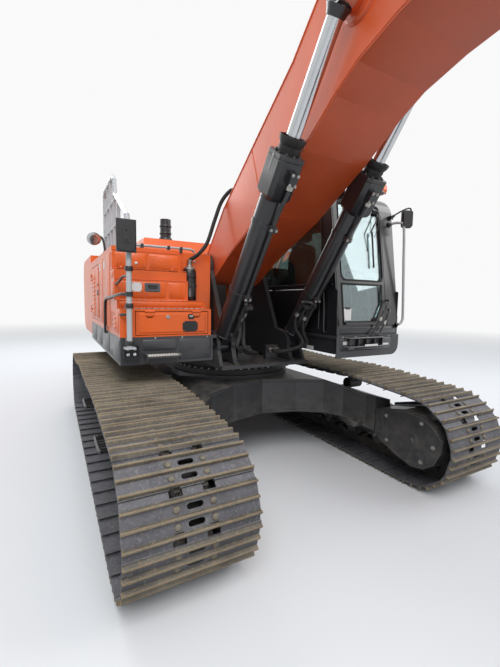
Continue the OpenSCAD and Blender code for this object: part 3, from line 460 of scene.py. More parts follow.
@dataclass(frozen=True)
class Rubber(Finish):
    """Moulded or braided black rubber: matt, with a faint bloom and fine grain."""
    colour: str = "#1B1B1C"
    bloom: str = "#56524D"
    roughness: float = 0.62
    # Cloth-wrapped hose shows about 1.5 mm grain, drawn at 4 mm
    grain_mm: float = 4.0

    def shader(self, tree: Tree) -> Node:
        """Builds the finish's nodes.

        Args:
            tree: The material's node tree.

        Returns:
            The last shader.
        """
        place = add_node(tree, "TexCoord")
        cloud = add_node(tree, "TexNoise", {"Scale": 12.0, "Detail": 6.0, "Roughness": 0.65},
                         {"Vector": place.outputs["Object"]})
        share = add_node(tree, "MapRange", {"From Min": 0.45, "From Max": 0.8, "To Max": 0.45},
                         {"Value": cloud.outputs["Fac"]})
        colour = add_node(tree, "Mix", {"data_type": "RGBA", MIX_A: linear(self.colour),
                                        MIX_B: linear(self.bloom)}, {0: share.outputs[0]})
        grain = add_node(tree, "TexNoise", {"Scale": 1 / (self.grain_mm * MM), "Detail": 3.0},
                         {"Vector": place.outputs["Object"]})
        relief = add_node(tree, "Bump", {"Strength": 0.18, "Distance": 0.0008},
                          {"Height": grain.outputs["Fac"]})
        rough = add_node(tree, "MapRange", {"To Min": self.roughness - 0.1,
                                            "To Max": self.roughness + 0.22},
                         {"Value": cloud.outputs["Fac"]})
        return add_node(tree, "BsdfPrincipled", {"Specular IOR Level": 0.4},
                        {"Base Color": colour.outputs[MIX_OUT], "Roughness": rough.outputs[0],
                         "Normal": relief.outputs[0]})


@dataclass(frozen=True)
class CabGlass(Finish):
    """Laminated float glass with a slight green-grey tint and a breath of dust."""
    tint: str = "#A9BCB6"
    dust: str = "#B8B4AA"

    def shader(self, tree: Tree) -> Node:
        """Builds the finish's nodes.

        Args:
            tree: The material's node tree.

        Returns:
            The last shader.
        """
        place = add_node(tree, "TexCoord")
        smear = add_node(tree, "TexNoise", {"Scale": 4.0, "Detail": 9.0, "Roughness": 0.7},
                         {"Vector": place.outputs["Object"]})
        share = add_node(tree, "MapRange", {"From Min": 0.45, "From Max": 0.85, "To Max": 0.1},
                         {"Value": smear.outputs["Fac"]})
        clear = add_node(tree, "BsdfPrincipled",
                         {"Base Color": linear(self.tint), "Transmission Weight": 1.0,
                          "Roughness": 0.0, "IOR": 1.05})
        sheen = add_node(tree, "BsdfGlossy", {"Roughness": 0.02, "Color": (0.9, 0.95, 1, 1)})
        gloss = add_node(tree, "LayerWeight", {"Blend": 0.35})
        faced = add_node(tree, "MapRange", {"To Min": 0.1, "To Max": 0.7},
                         {"Value": gloss.outputs["Fresnel"]})
        pane = add_node(tree, "MixShader", links={0: faced.outputs[0], 1: clear.outputs[0],
                                                  2: sheen.outputs[0]})
        dirt = add_node(tree, "BsdfDiffuse", {"Color": linear(self.dust)})
        return add_node(tree, "MixShader", links={0: share.outputs[0], 1: pane.outputs[0],
                                                  2: dirt.outputs[0]})


@dataclass(frozen=True)
class Moulded(Finish):
    """Injection-moulded plastic with a fine leathery grain."""
    colour: str = "#232426"
    roughness: float = 0.5
    grain_mm: float = 3.0

    def shader(self, tree: Tree) -> Node:
        """Builds the finish's nodes.

        Args:
            tree: The material's node tree.

        Returns:
            The last shader.
        """
        place = add_node(tree, "TexCoord")
        grain = add_node(tree, "TexVoronoi", {"Scale": 1 / (self.grain_mm * MM)},
                         {"Vector": place.outputs["Object"]})
        relief = add_node(tree, "Bump", {"Strength": 0.12, "Distance": 0.0006},
                          {"Height": grain.outputs["Distance"]})
        cloud = add_node(tree, "TexNoise", {"Scale": 7.0, "Detail": 5.0},
                         {"Vector": place.outputs["Object"]})
        tone = add_node(tree, "ValToRGB", links={"Fac": cloud.outputs["Fac"]})
        tone.color_ramp.elements[0].color = linear(self.colour, 0.85)
        tone.color_ramp.elements[1].color = linear(self.colour, 1.15, 0.004)
        return add_node(tree, "BsdfPrincipled", {"Roughness": self.roughness},
                        {"Base Color": tone.outputs["Color"], "Normal": relief.outputs[0]})


@dataclass(frozen=True)
class Lens(Finish):
    """Clear polycarbonate lamp lens over bright reflectors."""
    colour: str = "#EEF2F4"
    # Lens flutes stand 6 mm apart
    flutes_per_m: float = 165.0

    def shader(self, tree: Tree) -> Node:
        """Builds the finish's nodes.

        Args:
            tree: The material's node tree.

        Returns:
            The last shader.
        """
        place = add_node(tree, "TexCoord")
        flutes = add_node(tree, "TexVoronoi",
                          {"Scale": self.flutes_per_m, "feature": "DISTANCE_TO_EDGE"},
                          {"Vector": place.outputs["Object"]})
        relief = add_node(tree, "Bump", {"Strength": 0.5, "Distance": 0.002},
                          {"Height": flutes.outputs["Distance"]})
        return add_node(tree, "BsdfPrincipled",
                        {"Base Color": linear(self.colour), "Metallic": 0.4, "Roughness": 0.12,
                         "Coat Weight": 1.0}, {"Normal": relief.outputs[0]})


@dataclass(frozen=True)
class Woven(Finish):
    """Seat cloth: a coarse twill in dark grey yarn with soft sheen."""
    colour: str = "#34363A"
    # The yarns of seat twill stand 1.2 mm apart, drawn at 4 mm
    yarn_mm: float = 4.0
    # A wave of scale 1 repeats about every 0.157 m
    wave_m: float = 0.157

    def shader(self, tree: Tree) -> Node:
        """Builds the finish's nodes.

        Args:
            tree: The material's node tree.

        Returns:
            The last shader.
        """
        place = add_node(tree, "TexCoord")
        weave = add_node(tree, "TexWave", {"Scale": self.wave_m / (self.yarn_mm * MM),
                                           "bands_direction": "DIAGONAL"},
                         {"Vector": place.outputs["Object"]})
        tone = add_node(tree, "ValToRGB", links={"Fac": weave.outputs["Fac"]})
        tone.color_ramp.elements[0].color = linear(self.colour, 0.6)
        tone.color_ramp.elements[1].color = linear(self.colour, 1.3)
        relief = add_node(tree, "Bump", {"Strength": 0.4, "Distance": 0.001},
                          {"Height": weave.outputs["Fac"]})
        return add_node(tree, "BsdfPrincipled", {"Roughness": 0.9, "Sheen Weight": 0.3},
                        {"Base Color": tone.outputs["Color"], "Normal": relief.outputs[0]})


# Finishes of the machine
GREY_PRIMER, BROWN_PRIMER = "#77736C", "#6E6A64"
GREY_DUST, BROWN_DUST = "#8E8A83", "#7E776C"
ORANGE = Enamel("orange_enamel", "orange_paint", colour="#EA651E")
BOOM_ORANGE = Enamel("boom_orange_enamel", "boom_paint", colour="#DF5F30", dust_amount=0.25)
CHARCOAL = Enamel("charcoal_enamel", "frame_paint", colour="#2D2E31", dust="#857D72",
                  low_dust_m=0.9, dust_amount=0.55, roughness=0.45, primer=GREY_PRIMER)
SKIRT = Enamel("skirt_grey_enamel", "skirt_paint", colour="#3A3B3E", dust=GREY_DUST,
               roughness=0.42, primer=GREY_PRIMER)
BARREL = Enamel("barrel_enamel", "barrel_paint", colour="#28292C", dust=GREY_DUST,
                roughness=0.33, primer=GREY_PRIMER, edge_mm=3.0)
CAB = Enamel("cab_black_enamel", "cab_paint", colour="#222326", dust=GREY_DUST,
             roughness=0.3, coat=0.5, wear=0.1, primer=GREY_PRIMER)
RAIL = Enamel("rail_grey_enamel", "rail_paint", colour="#B9BDC0", dust="#A9A399",
              roughness=0.4, wear=0.0, edge_mm=2.0)
LINES = Enamel("line_rust_enamel", "line_steel", colour="#8C3B2A", dust=GREY_DUST,
               roughness=0.4, edge_mm=2.0)
SHOES = ShoeSteel("track_shoe_steel", "track_steel")
BARE = ShoeSteel("worn_cast_steel", "tooth_steel", scale="#55504A", rubbed="#8B857B",
                 grit="#8D7B5D")
LINKS = ShoeSteel("track_link_steel", "track_steel", scale="#2E2C2B", rubbed="#5A5550",
                  grit="#6E6453", rust="#4B3326")
GROUSER = ShoeSteel("grouser_steel", "track_steel", scale="#56544F", rubbed="#8E877A",
                    grit="#A88A56", rust="#8A5F38", tip="#BC9A5C", grit_share=0.5,
                    tip_share=0.95, tip_mm=9.0)
BUCKET = ShoeSteel("bucket_plate", "bucket_paint", scale="#3A3836", rubbed="#6D675F",
                   grit="#7D6C50", rust="#5F3B29")
GEAR = Enamel("running_gear_enamel", "running_gear", colour="#2C2B2B", dust=BROWN_DUST,
              low_dust_m=0.9, roughness=0.55, coat=0.0, primer=BROWN_PRIMER)
BLACK = Enamel("black_enamel", "black_plastic", colour="#1C1C1E", dust=BROWN_DUST,
               roughness=0.4, primer=BROWN_PRIMER, edge_mm=2.0)
CHROME = Chrome("hard_chrome", "rod_chrome")
PLATED = Plated("zinc_plate", "bearing_steel")
HOSE = Rubber("hydraulic_hose_rubber", "black_plastic")
CUP = Rubber("dust_cup_rubber", "black_plastic", colour="#151516", roughness=0.5)
GLASS = CabGlass("laminated_cab_glass", "cab_glass")
PLASTIC = Moulded("black_moulded_plastic", "black_plastic")
TRIM = Moulded("grey_moulded_plastic", "black_plastic", colour="#5C5E61")
BOARD = Moulded("white_printed_board", "orange_paint", colour="#E9E9E6", roughness=0.45)
LENS = Lens("lamp_lens", "cab_glass")
RED_LENS = Lens("red_lamp_lens", "orange_paint", colour="#B3201C")
CLOTH = Woven("seat_twill", "seat_cloth")


@dataclass
class Stage:
    """The pale floor, the soft lights and the camera."""
    reach: float = 60.0
    white: float = 0.95
    # The lens in pixels of the photograph's longer side, and the camera's place and turn
    focal_px: float = 357.2
    photo_px: float = 667
    eye: Point3 = (-2.012, SWING_Y - 4.187, 1.761)
    yaw: float = 0.5044
    pitch: float = 0.0909
    roll: float = 0.01868

    def build(self) -> None:
        """Makes the world, the floor, the lights and the camera."""
        bpy.context.scene.view_settings.view_transform = "Standard"
        world = bpy.data.worlds.new("studio")
        bpy.context.scene.world = world
        world.use_nodes = True
        tree = world.node_tree
        tree.nodes.clear()
        seen = seen_rays(tree)
        plain = add_node(tree, "Background", {"Color": linear("#E4EAF2"), "Strength": 0.72})
        shown = add_node(tree, "Background",
                         {"Color": (1, 1, 1, 1), "Strength": self.white})
        mixed = add_node(tree, "MixShader", links={0: seen.outputs[0], 1: plain.outputs[0],
                                                   2: shown.outputs[0]})
        add_node(tree, "OutputWorld", links={"Surface": mixed.outputs[0]})
        self.floor()
        self.lamp("key_light", at(-3500, 9500, 11500), 9.0, 1250.0)
        self.lamp("fill_light", at(9500, 5000, 8000), 8.0, 500.0)
        self.lamp("rear_light", at(-2000, -9500, 9500), 8.0, 700.0)
        self.camera()

    def floor(self) -> None:
        """Makes a wide pale floor, fading to the background's white far away."""
        mesh = bpy.data.meshes.new("floor")
        r = self.reach
        mesh.from_pydata([(-r, -r, 0), (r, -r, 0), (r, r, 0), (-r, r, 0)], [], [(0, 1, 2, 3)])
        obj = bpy.data.objects.new("studio_floor", mesh)
        bpy.context.scene.collection.objects.link(obj)
        made, tree = new_material("pale_floor")
        place = add_node(tree, "TexCoord")
        far = add_node(tree, "VectorMath", {"operation": "LENGTH"},
                       {0: place.outputs["Object"]})
        fade = add_node(tree, "MapRange", {"From Min": 9.0, "From Max": 26.0},
                        {"Value": far.outputs["Value"]})
        seen = seen_rays(tree)
        # Seen it is pale, but it throws little light back on the machine
        tone = add_node(tree, "Mix", {"data_type": "RGBA", MIX_A: linear("#94938F"),
                                      MIX_B: linear("#DDDEDF")}, {0: seen.outputs[0]})
        matt = add_node(tree, "BsdfDiffuse", links={"Color": tone.outputs[MIX_OUT]})
        glow = add_node(tree, "Emission", {"Color": (1, 1, 1, 1), "Strength": self.white})
        mixed = add_node(tree, "MixShader", links={0: fade.outputs[0], 1: matt.outputs[0],
                                                   2: glow.outputs[0]})
        add_node(tree, "OutputMaterial", links={"Surface": mixed.outputs[0]})
        mesh.materials.append(made)

    def lamp(self, name: str, where: Vector, size: float, power: float) -> None:
        """Makes one soft square light that faces the machine.

        Args:
            name: The light's name.
            where: Its place in the row frame.
            size: The side of its square in metres.
            power: Its power in watts.
        """
        data = bpy.data.lights.new(name, "AREA")
        data.size = size
        data.energy = power
        obj = bpy.data.objects.new(name, data)
        obj.location = where
        aim = at(0, 500, 1500) - where
        obj.rotation_euler = aim.to_track_quat("-Z", "Y").to_euler()
        bpy.context.scene.collection.objects.link(obj)

    def camera(self) -> None:
        """Makes the camera at the photograph's place, angle and lens."""
        yaw, pitch, roll = self.yaw, self.pitch, self.roll
        ahead = Vector((math.sin(yaw) * math.cos(pitch), math.cos(yaw) * math.cos(pitch),
                        -math.sin(pitch)))
        level = Vector((math.cos(yaw), -math.sin(yaw), 0))
        over = level.cross(ahead)
        right = level * math.cos(roll) + over * math.sin(roll)
        up = over * math.cos(roll) - level * math.sin(roll)
        data = bpy.data.cameras.new("photo_camera")
        data.sensor_width = 36.0
        data.lens = self.focal_px / self.photo_px * data.sensor_width
        data.clip_end = 300.0
        obj = bpy.data.objects.new("photo_camera", data)
        turn = Matrix((right, up, -ahead)).transposed().to_4x4()
        obj.matrix_world = Matrix.Translation(self.eye) @ turn
        bpy.context.scene.collection.objects.link(obj)
        bpy.context.scene.camera = obj


class Shape:
    """One piece's mesh, put together from solids whose points are in machine millimetres."""
    # Edges flatter than the first are shaded smooth, sharper than the second are bevelled
    round_deg: float = 38.0
    bevel_deg: float = 40.0

    def __init__(self) -> None:
        self.mesh = bmesh.new()

    def loop(self, points: list[Point3]) -> list[bmesh.types.BMVert]:
        """Adds a ring of vertices at the given points."""
        return [self.mesh.verts.new(at(*p)) for p in points]

    def skin(self, rings: list[list[bmesh.types.BMVert]], caps: bool = True) -> None:
        """Joins rings of equal length into a closed skin.

        Args:
            rings: The rings in order, each going round the same way.
            caps: Whether the first and last ring are closed by a face.
        """
        for low, high in zip(rings, rings[1:]):
            n = len(low)
            for i in range(n):
                self.mesh.faces.new((low[i], low[(i + 1) % n], high[(i + 1) % n], high[i]))
        if caps:
            self.mesh.faces.new(rings[0][::-1])
            self.mesh.faces.new(rings[-1])

    def prism(self, outline: list[Point3], push: Point3) -> None:
        """Adds a flat outline pushed along a vector."""
        far = [tuple(a + b for a, b in zip(p, push)) for p in outline]
        self.skin([self.loop(outline), self.loop(far)])

    def side(self, outline: list[Point2], x0: float, x1: float) -> None:
        """Adds an outline in (forward, up) that reaches across from x0 to x1."""
        self.prism([(x0, f, z) for f, z in outline], (x1 - x0, 0, 0))

    def top(self, outline: list[Point2], z0: float, z1: float) -> None:
        """Adds an outline in (across, forward) that rises from z0 to z1."""
        self.prism([(x, f, z0) for x, f in outline], (0, 0, z1 - z0))

    def box(self, x: Point2, f: Point2, z: Point2) -> None:
        """Adds a box from its ranges across, forward and up."""
        self.top([(x[0], f[0]), (x[1], f[0]), (x[1], f[1]), (x[0], f[1])], z[0], z[1])

    def plate(self, loops: list[list[Point3]], push: Point3) -> None:
        """Adds a flat plate with holes.

        Args:
            loops: The outline and then its holes.
            push: The plate's thickness as a vector.
        """
        edges = []
        for points in loops:
            ring = self.loop(points)
            edges += [self.mesh.edges.new((ring[i - 1], ring[i])) for i in range(len(ring))]
        made = bmesh.ops.triangle_fill(self.mesh, use_beauty=True, edges=edges)
        faces = [g for g in made["geom"] if isinstance(g, bmesh.types.BMFace)]
        grown = bmesh.ops.extrude_face_region(self.mesh, geom=faces)
        moved = [g for g in grown["geom"] if isinstance(g, bmesh.types.BMVert)]
        bmesh.ops.translate(self.mesh, verts=moved, vec=at(*push) - at(0, 0, 0))

    def lathe(self, start: Point3, end: Point3, rings: list[Point2], sides: int = 32) -> None:
        """Adds a turned piece.

        Args:
            start: A point on its axis.
            end: A second point, which gives the axis's direction.
            rings: Distance from the start along the axis and radius, in order.
            sides: How many sides it has.
        """
        base = Vector(start)
        axis = (Vector(end) - base).normalized()
        flat = axis.orthogonal().normalized()
        other = axis.cross(flat)
        made = []
        for along, r in rings:
            centre = base + axis * along
            made.append(self.loop([
                tuple(centre + (flat * math.cos(a) + other * math.sin(a)) * max(r, 0.05))
                for a in (math.tau * i / sides for i in range(sides))]))
        self.skin(made)

    def rod(self, start: Point3, end: Point3, r: float, sides: int = 24) -> None:
        """Adds a round bar between two points.

        Args:
            start: The middle of its first end.
            end: The middle of its other end.
            r: Its radius.
            sides: How many sides it gets.
        """
        length = (Vector(end) - Vector(start)).length
        soft = min(r * 0.12, 3.0)
        self.lathe(start, end, [(0, r - soft), (soft, r), (length - soft, r), (length, r - soft)],
                   sides)

    def tube(self, path: list[Point3], r: float, sides: int = 14,
             swell: list[float] | None = None) -> None:
        """Adds a round tube along a path.

        Args:
            path: The points of its centre line.
            r: Its radius.
            sides: How many sides it has.
            swell: A factor for the radius at each point.
        """
        line = [Vector(p) for p in path]
        ahead = (line[1] - line[0]).normalized()
        flat = ahead.orthogonal().normalized()
        rings = []
        for i, p in enumerate(line):
            step = line[min(i + 1, len(line) - 1)] - line[max(i - 1, 0)]
            if step.length > 1e-6:
                way = step.normalized()
                flat = (flat - way * flat.dot(way)).normalized()
                other = way.cross(flat)
            size = r * (swell[i] if swell else 1.0)
            rings.append(self.loop([
                tuple(p + (flat * math.cos(a) + other * math.sin(a)) * size)
                for a in (math.tau * k / sides for k in range(sides))]))
        self.skin(rings)

    def bend(self, points: list[Point3], per: int, r: float, sides: int = 14) -> None:
        """Adds a round tube along a curve through points, with per steps between two."""
        self.tube(smooth_path(points, per), r, sides)

    def bolt(self, place: Point3, way: Point3, across: float = 24.0,
             height: float = 14.0) -> None:
        """Adds a hexagon bolt head on its washer.

        Args:
            place: The foot of the head, on the surface.
            way: The direction in which the head stands up.
            across: Its width over flats.
            height: Its height with the washer.
        """
        foot = Vector(place)
        axis = Vector(way).normalized()
        end = tuple(foot + axis)
        self.lathe(place, end, [(-1, across * 0.78), (2.5, across * 0.78), (3, across * 0.72)], 16)
        r = across * 0.577
        self.lathe(place, end, [(2, r), (height - 2.5, r), (height, r * 0.84)], 6)

    def weld(self, path: list[Point3], r: float = 6.0, step: float = 16.0) -> None:
        """Adds a rippled weld bead along a path of straight pieces.

        Args:
            path: The path's corners.
            r: The bead's radius.
            step: How far its ripples stand apart.
        """
        rings = resample(path, step)
        swell = [1.0 + 0.16 * (i % 2) for i in range(len(rings))]
        self.tube(rings, r, 6, swell)

    def bolt_ring(self, centre: Point2, r: float, count: int, z: float, across: float,
                  height: float, start: float = 0.0, way: Point3 = UP) -> None:
        """Adds a level ring of bolt heads, its first at an angle in degrees."""
        for x, f in ring_points(centre, r, count, start):
            self.bolt((x, f, z), way, across, height)

    def make(self, name: str, body: str, finish: Finish, bevel: float = 0.0, slot: str = "",
             replaces: tuple[str, ...] = ()) -> bpy.types.Object:
        """Turns the mesh into a piece of the machine.

        Args:
            name: The piece's name.
            body: The CAD body that it rides on.
            finish: The finish that it gets.
            bevel: The width in mm of its broken edges, 0 for none.
            slot: The record's material slot, where it isn't the finish's usual one; it is not
                used.
            replaces: The CAD nodes that it stands for.

        Returns:
            The new object.
        """
        bmesh.ops.recalc_face_normals(self.mesh, faces=self.mesh.faces)
        data = bpy.data.meshes.new(name)
        self.mesh.to_mesh(data)
        self.mesh.free()
        data.shade_smooth()
        data.set_sharp_from_angle(angle=math.radians(self.round_deg))
        data.materials.append(finish.material())
        obj = bpy.data.objects.new(name, data)
        bpy.context.scene.collection.objects.link(obj)
        if bevel:
            soft = obj.modifiers.new("broken_edges", "BEVEL")
            soft.width = bevel * MM
            soft.segments = 2
            soft.limit_method = "ANGLE"
            soft.angle_limit = math.radians(self.bevel_deg)
            soft.harden_normals = True
        slot = slot or finish.slot
        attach(obj, body)
        if replaces:
            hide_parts(*replaces)
        LOG.info("%s: %d faces on %s", name, len(data.polygons), body)
        return obj


def shapes(count: int) -> list[Shape]:
    """Returns empty shapes."""
    return [Shape() for _ in range(count)]


def make_all(body: str, rows: list[tuple]) -> None:
    """Makes pieces on one body, in order.

    Args:
        body: The CAD body that they ride on.
        rows: Each one's shape, its name, and what else Shape.make takes after the body.
    """
    for shape, name, *rest in rows:
        shape.make(name, body, *rest)


def resample(path: list[Point3], step: float) -> list[Point3]:
    """Puts points on a path of straight pieces at about equal steps.

    Args:
        path: The path's corners.
        step: The distance wanted between points, in mm.

    Returns:
        The new points, with both ends.
    """
    out = [tuple(path[0])]
    for a, b in zip(path, path[1:]):
        start, end = Vector(a), Vector(b)
        n = max(1, round((end - start).length / step))
        out += [tuple(start.lerp(end, i / n)) for i in range(1, n + 1)]
    return out


def smooth_path(points: list[Point3], per: int = 8) -> list[Point3]:
    """Runs a Catmull-Rom curve through given points.

    Args:
        points: The points that the curve passes.
        per: The steps between two of them.

    Returns:
        The curve's points.
    """
    line = [Vector(p) for p in points]
    line = [line[0] * 2 - line[1], *line, line[-1] * 2 - line[-2]]
    out = []
    for a, b, c, d in zip(line, line[1:], line[2:], line[3:]):
        for i in range(per):
            t = i / per
            out.append(tuple(0.5 * (2 * b + (c - a) * t + (2 * a - 5 * b + 4 * c - d) * t * t
                                    + (3 * b - a - 3 * c + d) * t ** 3)))
    return [*out, tuple(line[-2])]


def rounded(a: Point2, b: Point2, r: float) -> list[Point2]:
    """Outlines a rectangle with round corners.

    Args:
        a: Its first range.
        b: Its second range.
        r: The corners' radius.

    Returns:
        Its points in order.
    """
    out = []
    for cx, cy, start in ((a[1] - r, b[1] - r, 0), (a[0] + r, b[1] - r, 90),
                          (a[0] + r, b[0] + r, 180), (a[1] - r, b[0] + r, 270)):
        out += [(cx + r * math.cos(math.radians(start + k)),
                 cy + r * math.sin(math.radians(start + k))) for k in (0, 30, 60, 90)]
    return out


def ring_points(centre: Point2, r: float, count: int, start: float = 0.0) -> list[Point2]:
    """Places points round a circle.

    Args:
        centre: The circle's middle.
        r: Its radius.
        count: How many points it gets.
        start: The first point's angle in degrees.

    Returns:
        The points in order.
    """
    return [(centre[0] + r * math.cos(math.radians(start) + math.tau * i / count),
             centre[1] + r * math.sin(math.radians(start) + math.tau * i / count))
            for i in range(count)]


def slot_points(centre: Point2, length: float, width: float) -> list[Point2]:
    """Outlines a slot with round ends.

    Args:
        centre: Its middle.
        length: Its whole length, in the first direction.
        width: Its width.

    Returns:
        Its points in order.
    """
    half, r = (length - width) / 2, width / 2
    turns = [-90, -45, 0, 45, 90]
    right = [(centre[0] + half + r * math.cos(math.radians(a)),
              centre[1] + r * math.sin(math.radians(a))) for a in turns]
    left = [(2 * centre[0] - x, 2 * centre[1] - y) for x, y in right]
    return right + left


@dataclass
class TrackLoop:
    """One track: shoes with three grousers, bolted to two strands of links."""
    side: Side
    gauge: float = 2700.0
    shoe_w: float = 800.0
    span: float = 4060.0
    axle_z: float = 450.0
    count: int = 48
    grouser: float = 26.0
    plate_t: float = 14.0
    link_up: float = 58.0
    # Shoe bolts: distance across, and along as a share of the pitch
    bolt_x: float = 108.0
    bolt_share: float = 0.205
    plate_share: float = 0.492
    # Rise of the slack top run: forward, rise
    slack: tuple[Point2, ...] = (
        (-2030, 0), (-1750, -28), (-1450, -30), (-1150, 8), (-760, 58), (-400, 46), (0, 38),
        (450, 48), (860, 62), (1300, 50), (1700, 22), (2030, 0))

    @property
    def pin_r(self) -> float:
        """Radius of the pins' path round the idler."""
        return self.axle_z - self.grouser - self.plate_t - self.link_up

    @property
    def pitch(self) -> float:
        """Distance between two pins."""
        return (2 * self.span + math.tau * self.pin_r) / self.count

    def rise(self, f: float) -> float:
        """Finds the top run's rise.

        Args:
            f: The place, ahead of the swing axis.

        Returns:
            The rise, 0 beyond the run's ends.
        """
        for (a, za), (b, zb) in zip(self.slack, self.slack[1:]):
            if a <= f <= b:
                return za + (zb - za) * (f - a) / (b - a)
        return 0.0

    def pin(self, i: int) -> Point2:
        """Places one pin on the loop.

        Args:
            i: The pin's number, from 0.

        Returns:
            Its place in (forward, up).
        """
        s = ((i % self.count) + 0.5) * self.pitch
        half, r, turn = self.span / 2, self.pin_r, math.pi * self.pin_r
        if s < self.span:
            return (s - half, self.axle_z - r)
        if s < self.span + turn:
            a = -math.pi / 2 + (s - self.span) / r
            return (half + r * math.cos(a), self.axle_z + r * math.sin(a))
        if s < 2 * self.span + turn:
            f = half - (s - self.span - turn)
            return (f, self.axle_z + r + self.rise(f))
        a = math.pi / 2 + (s - 2 * self.span - turn) / r
        return (-half + r * math.cos(a), self.axle_z + r * math.sin(a))

    def placer(self, i: int) -> Placer:
        """Finds where a shoe stands.

        Args:
            i: The shoe's number, from 0.

        Returns:
            A function from (across, along, outward) on it to a machine point.
        """
        a, b = self.pin(i), self.pin(i + 1)
        angle = math.atan2(b[1] - a[1], b[0] - a[0])
        mid = ((a[0] + b[0]) / 2, (a[1] + b[1]) / 2)

        def place(x: float, u: float, w: float) -> Point3:
            """Returns the machine point of (across, along, outward)."""
            p = turned((u, -w), angle)
            return (self.side * self.gauge / 2 + x, mid[0] + p[0], mid[1] + p[1])
        return place

    def build(self) -> None:
        """Makes the shoes, the links and the bolts."""
        node = f"track_{self.side.tag}"
        plates, bars, bolts, links = shapes(4)
        low, high = self.link_up, self.link_up + self.plate_t
        # Grousers: share of the pitch at the foot and at the top
        rails = ((-0.47, -0.445, -0.385, -0.35), (-0.06, -0.035, 0.035, 0.06),
                 (0.35, 0.385, 0.445, 0.47))
        for i in range(self.count):
            place = self.placer(i)
            self.plate(plates, place, low)
            self.lip(plates, place, low)
            for r in rails:
                u = [q * self.pitch for q in r]
                top = high + self.grouser - 0.5
                bars.skin([bars.loop([place(x, u[0], high - 3), place(x, u[1], top),
                                      place(x, u[2], top), place(x, u[3], high - 3)])
                           for x in (-self.shoe_w / 2, self.shoe_w / 2)])
            for x in (-self.bolt_x, self.bolt_x):
                for u in (-self.bolt_share, self.bolt_share):
                    foot = place(x, u * self.pitch, high)
                    end = place(x, u * self.pitch, high + 10)
                    bolts.lathe(foot, end, [(-1, 21), (4, 21), (9, 17), (12, 9)], 14)
            self.links(links, place)
        make_all("undercarriage", [
            (plates, f"{node}_shoe_plates", SHOES, 0, "", (node,)),
            (bars, f"{node}_grousers", GROUSER, 3.5), (bolts, f"{node}_shoe_bolts", GROUSER),
            (links, f"{node}_links", LINKS)])

    def plate(self, shape: Shape, place: Placer, low: float) -> None:
        """Adds one shoe's plate with its two slots and its notches at the joint.

        Args:
            shape: The shape that gets it.
            place: What turns a point on the shoe into a machine point.
            low: How high over the pins the plate's inner side lies.
        """
        edge, w = self.plate_share * self.pitch, self.shoe_w / 2
        back, tongue = -edge, 34.0
        # Notches over the links' ends, on the trailing edge
        outline = [(-w, back), (-132, back), (-128, back + tongue), (-76, back + tongue),
                   (-72, back), (72, back), (76, back + tongue), (128, back + tongue),
                   (132, back), (w, back), (w, edge), (-w, edge)]
        loops = [outline] + [slot_points((0, u * self.pitch), 100, 34)
                             for u in (-self.bolt_share, self.bolt_share)]
        along = Vector(place(0, 0, self.plate_t)) - Vector(place(0, 0, 0))
        shape.plate([[place(x, u, low) for x, u in loop] for loop in loops], tuple(along))

    def lip(self, shape: Shape, place: Placer, low: float) -> None:
        """Adds the bent lip that tucks under the next shoe, in three runs beside the links.

        Args:
            shape: The shape that gets it.
            place: What turns a point on the shoe into a machine point.
            low: How high over the pins the plate's inner side lies.
        """
        edge = self.plate_share * self.pitch
        bend = [(edge - 12, low + 6), (edge, low + 5), (edge + 9, low - 1),
                (edge + 24, low - 7), (edge + 38, low - 13), (edge + 36, low - 21),
                (edge + 20, low - 15), (edge + 4, low - 8), (edge - 12, low + 1)]
        for x0, x1 in ((-self.shoe_w / 2 + 2, -138), (-60, 60), (138, self.shoe_w / 2 - 2)):
            shape.skin([shape.loop([place(x, u, w) for u, w in bend]) for x in (x0, x1)])

    def links(self, shape: Shape, place: Placer) -> None:
        """Adds the two links of one shoe and the bush at its pin.

        Args:
            shape: The shape that gets it.
            place: What turns a point on the shoe into a machine point.
        """
        half = self.pitch / 2
        for x, way in ((-100, 1), (100, -1)):
            # Link outline: share of the pitch, height over the pin line
            outline = [(-1.16, 16), (-1.05, 42), (-0.6, 57), (0.6, 57), (0.9, 38), (0.98, 8),
                       (0.9, -26), (0.66, -44), (-0.66, -44), (-1.0, -36), (-1.16, -8)]
            x0, x1 = (x, x + way * 34)
            shape.skin([shape.loop([place(a, q[0] * half, q[1]) for q in outline])
                        for a in (x0, x1)])
            lap = (x + way * 10, x + way * 30)
            shape.skin([shape.loop([place(a, half + q[0], q[1])
                                    for q in ring_points((0, 0), 30, 12)]) for a in lap])
        shape.rod(place(-66, half, 0), place(66, half, 0), 31, 16)
        shape.rod(place(-101, half, 0), place(101, half, 0), 17, 12)


